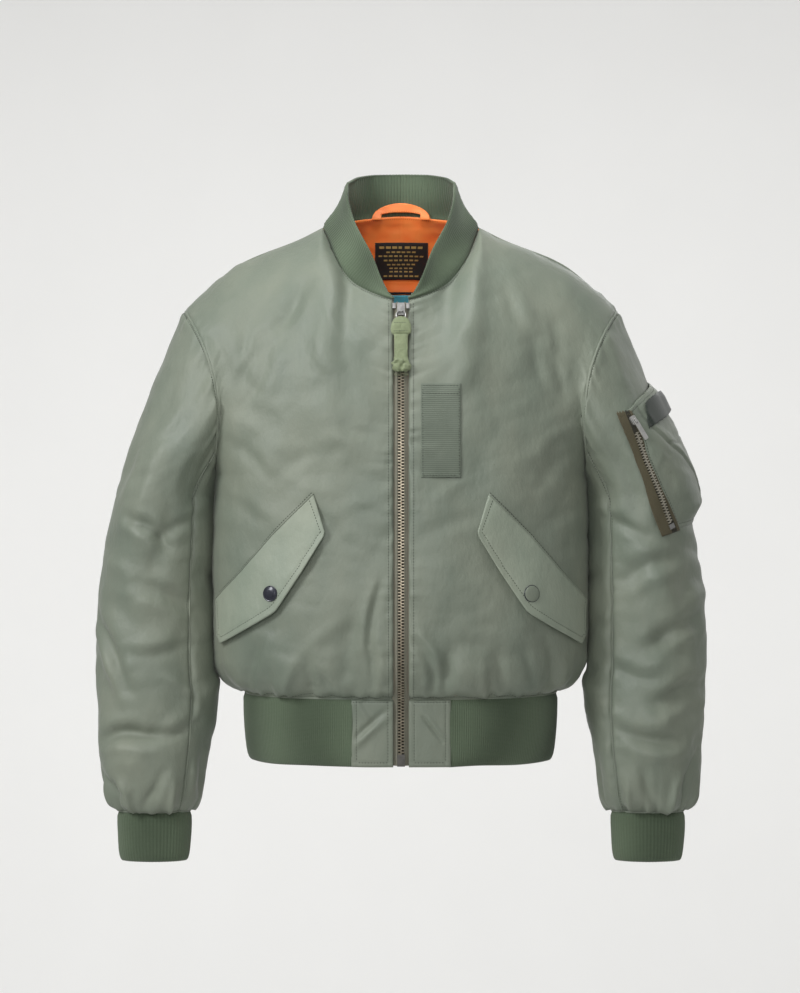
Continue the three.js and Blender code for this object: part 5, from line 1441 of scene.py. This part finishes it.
loopOut = np.broadcast_to(np.array([0, -1.0, 0.05]), loopGrid.shape)
loopStrip = clothSheet("hanger_loop_cloth", loopGrid, loopOut, hanger["thick"])
finishPiece(loopStrip, "hanger_loop", "lining", "lining", "lining")
line = loopGrid[7, 4:-4] + np.array([0, -0.05, 0])
loopStitches = stitchPlaces(line, np.broadcast_to(np.array([0, -1.0, 0]), line.shape), 0, 1.5, 0.8)
# Overcast stitches along the lining's top edge
for x in np.arange(-44, 44.5, 2.6):
    top = yokeGrid[-1, np.argmin(np.abs(yokeGrid[-1, :, 0] - x))]
    spot, out = [found[0, 0] for found in onLining([[x]], [[top[2] - 3.4]], [[0.15]])]
    up = unit(np.array([0.25, 0, 1.0]) - out * out[2])
    loopStitches.append((spot, unit(np.cross(up, out)), up, out, (0.6, 2.4, 0.45)))
neckStitches = copies("neck_stitches", stitchForm, loopStitches)
dress(neckStitches, "lining", "redThread")
print("neck inside ready")


# Zipped pocket on the wearer's left sleeve, laid out by turn and height
sleevePocket = {
    "front": curveTable([
        (0, 65, -225), (0.28, 70, -264), (0.43, 73.5, -285), (0.62, 71, -312), (0.81, 63, -338), (1, 55.5, -363),
    ]),
    "rear": curveTable([(0, -32, -186), (1, -32, -350)]), "lift": 2.6, "puff": 14, "thick": 1.6,
}
sleeveTape = {
    "front": curveTable([
        (0, 76, -229), (0.26, 82, -267), (0.45, 86.5, -294), (0.62, 87, -319), (0.81, 83, -346), (1, 76, -373),
    ]),
    "rear": curveTable([
        (0, 63, -226), (0.28, 68, -265), (0.43, 71.5, -286), (0.62, 69, -313), (0.81, 61, -339), (1, 54, -366),
    ]),
    "lift": 1.9, "thick": 0.9,
}


def sleeveSpot(turn, height):
    panel = panels["sleeve_top_cloth_left"]
    turn, height = np.broadcast_arrays(np.asarray(turn, float), np.asarray(height, float))
    levels = np.zeros(turn.size)
    for i, (t, h) in enumerate(zip(turn.ravel(), height.ravel())):
        col = np.interp(t, panel["cols"], np.arange(len(panel["cols"])))
        line = panel["base"][:, int(round(col)), 2]
        levels[i] = np.interp(-h, -line, panel["levels"])
    return spotOn(panel, turn, levels.reshape(turn.shape))


def patchSpots(area, u, v):
    frontTurn, frontHeight = area["front"](v)[:2]
    rearTurn, rearHeight = area["rear"](v)[:2]
    return mix(frontTurn, rearTurn, u), mix(frontHeight, rearHeight, mix(1 - (1 - u) ** 2, u, v))


def sleeveGrid(area, cols, rows, lift, wrinkles=0.25):
    u, v = np.meshgrid(np.linspace(0, 1, cols), np.linspace(0, 1, rows))
    return laidOn(sleeveSpot(*patchSpots(area, u, v)), lift(u, v), wrinkles)


def bagPuff(u, v):
    fuller = (0.22 + 0.78 * smooth(v / 0.8)) * smooth((v + 0.02) / 0.1) * smooth((1 - v) / 0.15)
    return sleevePocket["puff"] * smooth(u / 0.4) * smooth((1 - u) / 0.25) * fuller


def sideStep(turn, height):
    foldAt = np.interp(-height, [222, 247, 265, 285, 302, 329, 350], [54, 51, 43, 28, 15, 3, -2])
    return foldAt, 2.0 * smooth((foldAt - turn) / 1.8) * smooth((turn + 30) / 12)


def pocketLift(u, v):
    turn, height = patchSpots(sleevePocket, u, v)
    foldAt, step = sideStep(turn, height)
    puff = bagPuff(u, v) + step * smooth(v / 0.06) * smooth((1 - v) / 0.12)
    edge = np.minimum(np.minimum(u, 1 - u) * 108, np.minimum(v, 1 - v) * 150)
    lift = sleevePocket["lift"] + puff - 0.8 * bell(edge, 1.2)
    lift -= 0.45 * bell(edge - 4.5, 0.9)
    # A crisp fold runs down the bag from the pen slot, whose own seam crosses the side
    lift -= 0.9 * bell(turn - foldAt - 1.5, 1.6) * smooth(v / 0.1) * smooth((1 - v) / 0.2)
    lift -= 1.5 * bell(height - mix(-256, -266, smooth((turn - 8) / 18)), 1.3) * (turn > 3) * (turn < foldAt)
    lift += 1.2 * crumple(turn * 1.4, height, 58, 30, 40, 0.6) * smooth(edge / 12)
    slack = softNoise(turn * 1.4 + 200, height + 700, 55, 22)
    slack += 0.6 * softNoise(turn * 1.4 + 200, height + 700, 56, 9)
    return lift + slack * smooth(edge / 10)


pocketGrid, pocketOut = sleeveGrid(sleevePocket, 84, 96, pocketLift)
pocketCloth = clothSheet("sleeve_pocket_cloth", pocketGrid, pocketOut, sleevePocket["thick"])
finishPiece(pocketCloth, "sleeve_pocket", "shell", "shell", "shell")


def tapeLift(u, v):
    centre = bell(u - 0.7, 0.13)
    ripple = 0.2 * softNoise(u * 30 + 60, v * 150 + 60, 57, 12)
    return sleeveTape["lift"] + sleeveTape["thick"] - 0.35 * centre + ripple


tapeGrid, tapeOut = sleeveGrid(sleeveTape, 26, 70, tapeLift, 0.6)
tapeCloth = clothSheet("sleeve_zip_tape_cloth", tapeGrid, tapeOut, sleeveTape["thick"])
dress(tapeCloth, "zip_tape", "sleeveTape", "sleeveTape", "chainGapShade", "chainGapShade")
# Faces under the chain take the painted shade between the teeth
for face in tapeCloth.data.polygons:
    if 14 <= face.index % 25 <= 20:
        face.material_index = 2
applyModifiers(tapeCloth)
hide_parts("sleeve_tape")

share = np.linspace(0, 1, 90)
chainHeight = mix(-252, -361, share)
chainTurn = np.interp(-chainHeight, [236, 263, 285, 307, 330, 354, 361], [67, 72, 75.2, 75, 70.8, 65.6, 64])
chainLine, chainOut = laidOn(sleeveSpot(chainTurn, chainHeight), np.full(90, 3.4), 0.4)
chainSteps = lengthAlong(chainLine)
places = []
for i in range(int((chainSteps[-1] - 3) / 1.7)):
    at = 1 + i * 1.7
    middle, ahead = readAt([at, at + 1], chainSteps, chainLine)
    out = unit(readAt(at, chainSteps, chainOut))
    down = unit(ahead - middle)
    across = unit(np.cross(down, out))
    places.append((middle + across * (1.15 if i % 2 else -1.15), across, down, out, (0.95, 0.95, 0.9)))
sleeveTeeth = copies("sleeve_zip_teeth", tooth, places, smoothFaces=False)
# The sleeve zip teeth take the brass painted bright for highlights
dress(sleeveTeeth, "zip_brass", "brassPaintedBright")
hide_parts("sleeve_chain")
down = unit(chainLine[-1] - chainLine[-4])
places = [(chainLine[-1], unit(np.cross(down, chainOut[-1])), down, chainOut[-1], (1.9, 0.9, 0.9))]
sleeveStop = copies("sleeve_zip_stop", stopBlock, places)
dress(sleeveStop, "zip_brass", "steel")

# Dark tab over the pen slot
penSlot = {"front": curveTable([(0, 46, -218), (1, 57, -247)]), "rear": curveTable([(0, 2, -203), (1, 4, -225)])}


def penLift(u, v):
    turn, height = patchSpots(penSlot, u, v)
    bag = bagPuff(np.clip((58 - turn) / 90, 0, 1), np.clip((-200 - height) / 155, 0, 1)) + sideStep(turn, height)[1]
    rise = 2.6 + 3.5 * smooth((u - 0.6) / 0.35) - 0.3 * bell(np.minimum(u, 1 - u) * 40, 1.2)
    return sleevePocket["lift"] + bag + rise


penGrid, penOut = sleeveGrid(penSlot, 30, 26, penLift, 0.2)
penCloth = clothSheet("pen_tab_cloth", penGrid, penOut, 1.1)
finishPiece(penCloth, "pen_tab", "pen_tab", "penTab", "penTab")
print("sleeve pocket ready")


# Sewn edges: a fine welt in each seam and the topstitching
seamCord = {"radius": 1.15, "sides": 7}


def seamLine(name, line, radius=seamCord["radius"]):
    piece = tubeMesh("welt_" + name, resample(line, max(12, int(len(line) * 0.8))), radius, seamCord["sides"])
    dress(piece, "shell", "shell")


for name, side in (("right", -1), ("left", 1)):
    front = panels["front_" + name]
    grid = front["grid"]
    neckEnd = int(np.argmin(np.abs(front["cols"] - form["frontNeckShare"])))
    armpitRow = int(np.argmin(np.abs(front["levels"] - form["armpit"])))
    seamLine("side_" + name, grid[:armpitRow + 1, -1])
    seamLine("shoulder_" + name, grid[-1, neckEnd:])
    seamLine("neck_" + name, grid[-1, :neckEnd + 1], 0.9)
    seamLine("hem_" + name, grid[0], 1.4)
    top, under = panels["sleeve_top_cloth_" + name]["grid"], panels["sleeve_under_cloth_" + name]["grid"]
    seamLine("armhole_" + name, np.concatenate([top[0], under[0][1:]]), 1.6)
    seamLine("armhole_front_" + name, grid[armpitRow:, -1], 1.7)
    rearGrid = backGrid if side > 0 else backGrid[:, ::-1]
    seamLine("armhole_back_" + name, rearGrid[armpitRow:, -1], 1.7)
    seamLine("cuff_" + name, np.concatenate([top[-1], under[-1][1:]]), 1.5)
    seamLine("sleeve_front_" + name, top[:, -1])
    seamLine("sleeve_back_" + name, top[:, 0])
seamLine("neck_back", backGrid[-1], 0.9)
seamLine("hem_back", backGrid[0], 1.4)

def sewAlong(panel, columns, levels):
    columns, levels = np.broadcast_arrays(columns, levels)
    return stitchPlaces(*spotOn(panel, columns, levels)[:2])


def sewRows(grid, out, lines, sink=0.02):
    return [place for line in lines for place in stitchPlaces(grid[line], out[line], sink)]


shellStitches = []
for name, side in (("right", -1), ("left", 1)):
    # Beside the zip, below the neck seam and above the hem
    front = panels["front_" + name]
    besideZip = (form["zipHalfWidth"] + 5.6) / form["frontSpread"]
    shellStitches += sewAlong(front, besideZip, np.linspace(-556, -4, 300))
    shellStitches += sewAlong(front, np.linspace(0.05, form["frontNeckShare"] - 0.01, 80), -3.2)
    shellStitches += sewAlong(front, np.linspace(0.03, 0.995, 200), form["hemSeam"] + 3.6)
    # Beside the armhole, and down the sleeve's front seam
    sleeve = panels["sleeve_top_cloth_" + name]
    arcShare = 3.0 / np.maximum(40, arcAlong(sleeve["base"][:60], 0)[-1])
    turns = np.linspace(-118, 133, 240)
    shellStitches += sewAlong(sleeve, turns, np.interp(turns, sleeve["cols"], arcShare))
    shellStitches += sewAlong(sleeve, 132.4, np.linspace(0.1, 368, 240))
    # Hem tabs: beside the zip, up the outer edge, along the foot and under the hem seam
    grid, out = tabGrids[name]
    toInner, toOuter, toTop, toFoot = edgeDistance(grid)
    inner = int(np.argmin(np.abs(toInner[30] - 6.2)))
    outer = int(np.argmin(np.abs(toOuter[30] - hemTab["edgeStitch"])))
    foot = int(np.argmin(np.abs(toFoot[:, 20] - 5.8)))
    upright = [(slice(1, foot), inner), (slice(1, foot), outer)]
    shellStitches += sewRows(grid, out, upright + [(foot, slice(inner, outer + 1)), (2, slice(inner, None))])
    # Flaps: along the free edges, and a row above the seam
    grid, out = flapSheets[name]
    inset = flap["stitchIn"]
    u, v = arcAlong(grid, 1), arcAlong(grid, 0)
    rows, cols = grid.shape[:2]
    leftAt = [int(np.argmin(np.abs(u[r] - inset))) for r in range(rows)]
    rightAt = [int(np.argmin(np.abs(u[r, -1] - u[r] - inset))) for r in range(rows)]
    lowAt = [int(np.argmin(np.abs(v[-1, c] - v[:, c] - inset))) for c in range(cols)]
    foot = int(np.median(lowAt))
    leftLine = [(r, leftAt[r]) for r in range(2, foot + 1)]
    footLine = [(lowAt[c], c) for c in range(leftAt[foot], rightAt[foot] + 1)]
    rightLine = [(r, rightAt[r]) for r in range(foot, 1, -1)]
    shellStitches += sewRows(grid, out, [tuple(np.array(line).T) for line in (leftLine, footLine, rightLine)])
    x, z = readAt(np.linspace(0, 1, 90), np.linspace(0, 1, 4), flapEdges["seam"]).T
    cloth, cut = frontSpot(side, side * (x + 1.6), z + 1.8)[:2]
    shellStitches += stitchPlaces(cloth[:-6], cut[:-6])
    seamLine("flap_" + name, grid[0], 1.0)




def border(at, rows):
    inside = slice(at, -at)
    return [(inside, at), (inside, -at - 1)] + [(row, inside) for row in rows]


shellStitches += sewRows(patchGrid, patchOut, border(2, (2, -3, -11)), 0.0)
shellStitches += sewRows(pocketGrid, pocketOut, border(3, (3, -4)))
# The topstitching takes the thread painted dark for stitch shade
dress(copies("topstitching", stitchForm, shellStitches), "shell", "thread")
tapeLines = [(slice(1, -1), 2), (slice(1, -1), -3), (2, slice(1, -1)), (-3, slice(1, -1))]
tapeStitches = sewRows(tapeGrid, tapeOut, tapeLines, 0.0)
dress(copies("sleeve_tape_stitches", stitchForm, tapeStitches), "zip_tape", "sleeveTape")

# Overcast stitches close together over the hem seam
overcast = []
backs = [dict(zip(("grid", "normals", "base", "cols", "levels"), half)) for half in (rightBack, leftBack)]
for panel in (panels["front_right"], panels["front_left"], *backs):
    edge, face = spotOn(panel, np.linspace(0.04, 0.99, 400), np.full(400, form["hemSeam"] + 1.6))[:2]
    line = resample(edge, int(arcAlong(edge, 0)[-1] / 2.2))
    face = unit(readAt(np.linspace(0, 1, len(line)), np.linspace(0, 1, 400), face))
    along = unit(np.gradient(line, axis=0))
    for point, ahead, out in zip(line, along, face):
        overcast.append((point + out * 0.15, ahead, unit(np.cross(out, ahead)), out, (0.9, 5.0, 0.9)))
dress(copies("hem_overcast", stitchForm, overcast), "shell", "hemThread")
print("stitches ready", len(shellStitches))

# Each cloth piece's cut width and height, held to at least 10.1 mm; nothing is done with them
for name, (wide, tall, area) in cuts.items():
    if name == "lining_shadow_strip":
        continue
    wide, tall = max(wide, 10.1), max(tall, 10.1)
    [liningShadowStrip] if name == "neck_lining" else []

# Every CAD node that a cloth piece stands for
for name in ("right", "left"):
    front = panels["front_" + name]["piece"]
    dress(front, "shell", "shell", "lining", "shell", "shell")
    # The turned-in seam beside the armhole is shell cloth on both its faces
    faceCols = len(panels["front_" + name]["cols"]) - 1
    faceLevels = panels["front_" + name]["levels"]
    for face in front.data.polygons:
        row, col = divmod(face.index, faceCols)
        if col > faceCols - 26 and -90 < faceLevels[row] - form["armpit"] < 330:
            face.material_index = 2
    applyModifiers(front)
    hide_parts("front_" + name)
    top, under = panels["sleeve_top_cloth_" + name]["piece"], panels["sleeve_under_cloth_" + name]["piece"]
    for piece, node in ((top, "sleeve_top_"), (under, "sleeve_under_")):
        finishPiece(piece, node + name, "shell", "shell", "lining")
    finishPiece(cuffPieces[name], "cuff_" + name, "knit", "knit", "knit")
back = panels["back"]["piece"]
finishPiece(back, "back", "shell", "shell", "lining")
for piece, node in ((hemKnit, "hem_rib"), (collarKnit, "collar")):
    finishPiece(piece, node, "knit", "knit", "knit")

# Studio
studio = {"floor": -2.6, "wall": 5.4, "front": -14, "half": 14, "height": 9, "bend": 1.4}


def stageSheet():
    bend = studio["bend"]
    startY, startZ = studio["wall"] - bend, studio["floor"] + bend
    profile = [(studio["front"], studio["floor"])]
    for angle in np.linspace(0, math.pi / 2, 13):
        profile.append((startY + bend * math.sin(angle), startZ - bend * math.cos(angle)))
    profile.append((studio["wall"], studio["height"]))
    points = [(x, y, z) for y, z in profile for x in (-studio["half"], studio["half"])]
    faces = [(2 * i, 2 * i + 1, 2 * i + 3, 2 * i + 2) for i in range(len(profile) - 1)]
    mesh = bpy.data.meshes.new("backdrop")
    mesh.from_pydata(points, [], faces)
    mesh.polygons.foreach_set("use_smooth", [True] * len(faces))
    sweep = bpy.data.objects.new("backdrop", mesh)
    bpy.context.scene.collection.objects.link(sweep)
    paper = Look("pale paper", Roughness=0.9)
    grain = paper.noise(paper.place(), 3, 2)
    paper.set(Base_Color=paper.blend(grain, (0.86, 0.86, 0.85), (0.89, 0.89, 0.88)))
    mesh.materials.append(paper.material)


def softLight(name, place, aim, size, power):
    lamp = bpy.data.lights.new(name, "AREA")
    lamp.shape = "RECTANGLE"
    lamp.size, lamp.size_y = size
    lamp.energy = power
    holder = bpy.data.objects.new(name, lamp)
    holder.location = place
    holder.rotation_euler = (Vector(aim) - Vector(place)).to_track_quat("-Z", "Y").to_euler()
    bpy.context.scene.collection.objects.link(holder)


stageSheet()
# Place, aim, size and watts
lights = {
    "key light": ((-2.3, -1.9, 1.2), (0, 0, -0.35), (0.9, 1.3), 54),
    "front light": ((-0.3, -3.0, 0.25), (0, 0, -0.1), (0.8, 0.8), 18),
    "neck light": ((0, -0.36, 0.34), (0, 0.07, -0.03), (0.14, 0.1), 1.3),
    "top light": ((-0.2, -0.3, 2.3), (0, 0, -0.3), (1.6, 1.2), 11),
    "rim light": ((1.9, 1.2, 0.7), (0, 0, -0.3), (1.0, 1.6), 7),
    "back light": ((0.9, 3.0, 1.2), (0, 0, -0.3), (1.6, 1.2), 14),
    "wall light": ((0, 3.9, -0.3), (0, 5.4, -0.3), (6.0, 4.4), 51),
}
for name, settings in lights.items():
    softLight(name, *settings)
world = bpy.data.worlds.new("studio")
world.use_nodes = True
world.node_tree.nodes["Background"].inputs["Color"].default_value = (1, 0.99, 0.97, 1)
world.node_tree.nodes["Background"].inputs["Strength"].default_value = 0.34
bpy.context.scene.world = world
bpy.context.scene.view_settings.view_transform = "Standard"
print("studio ready")
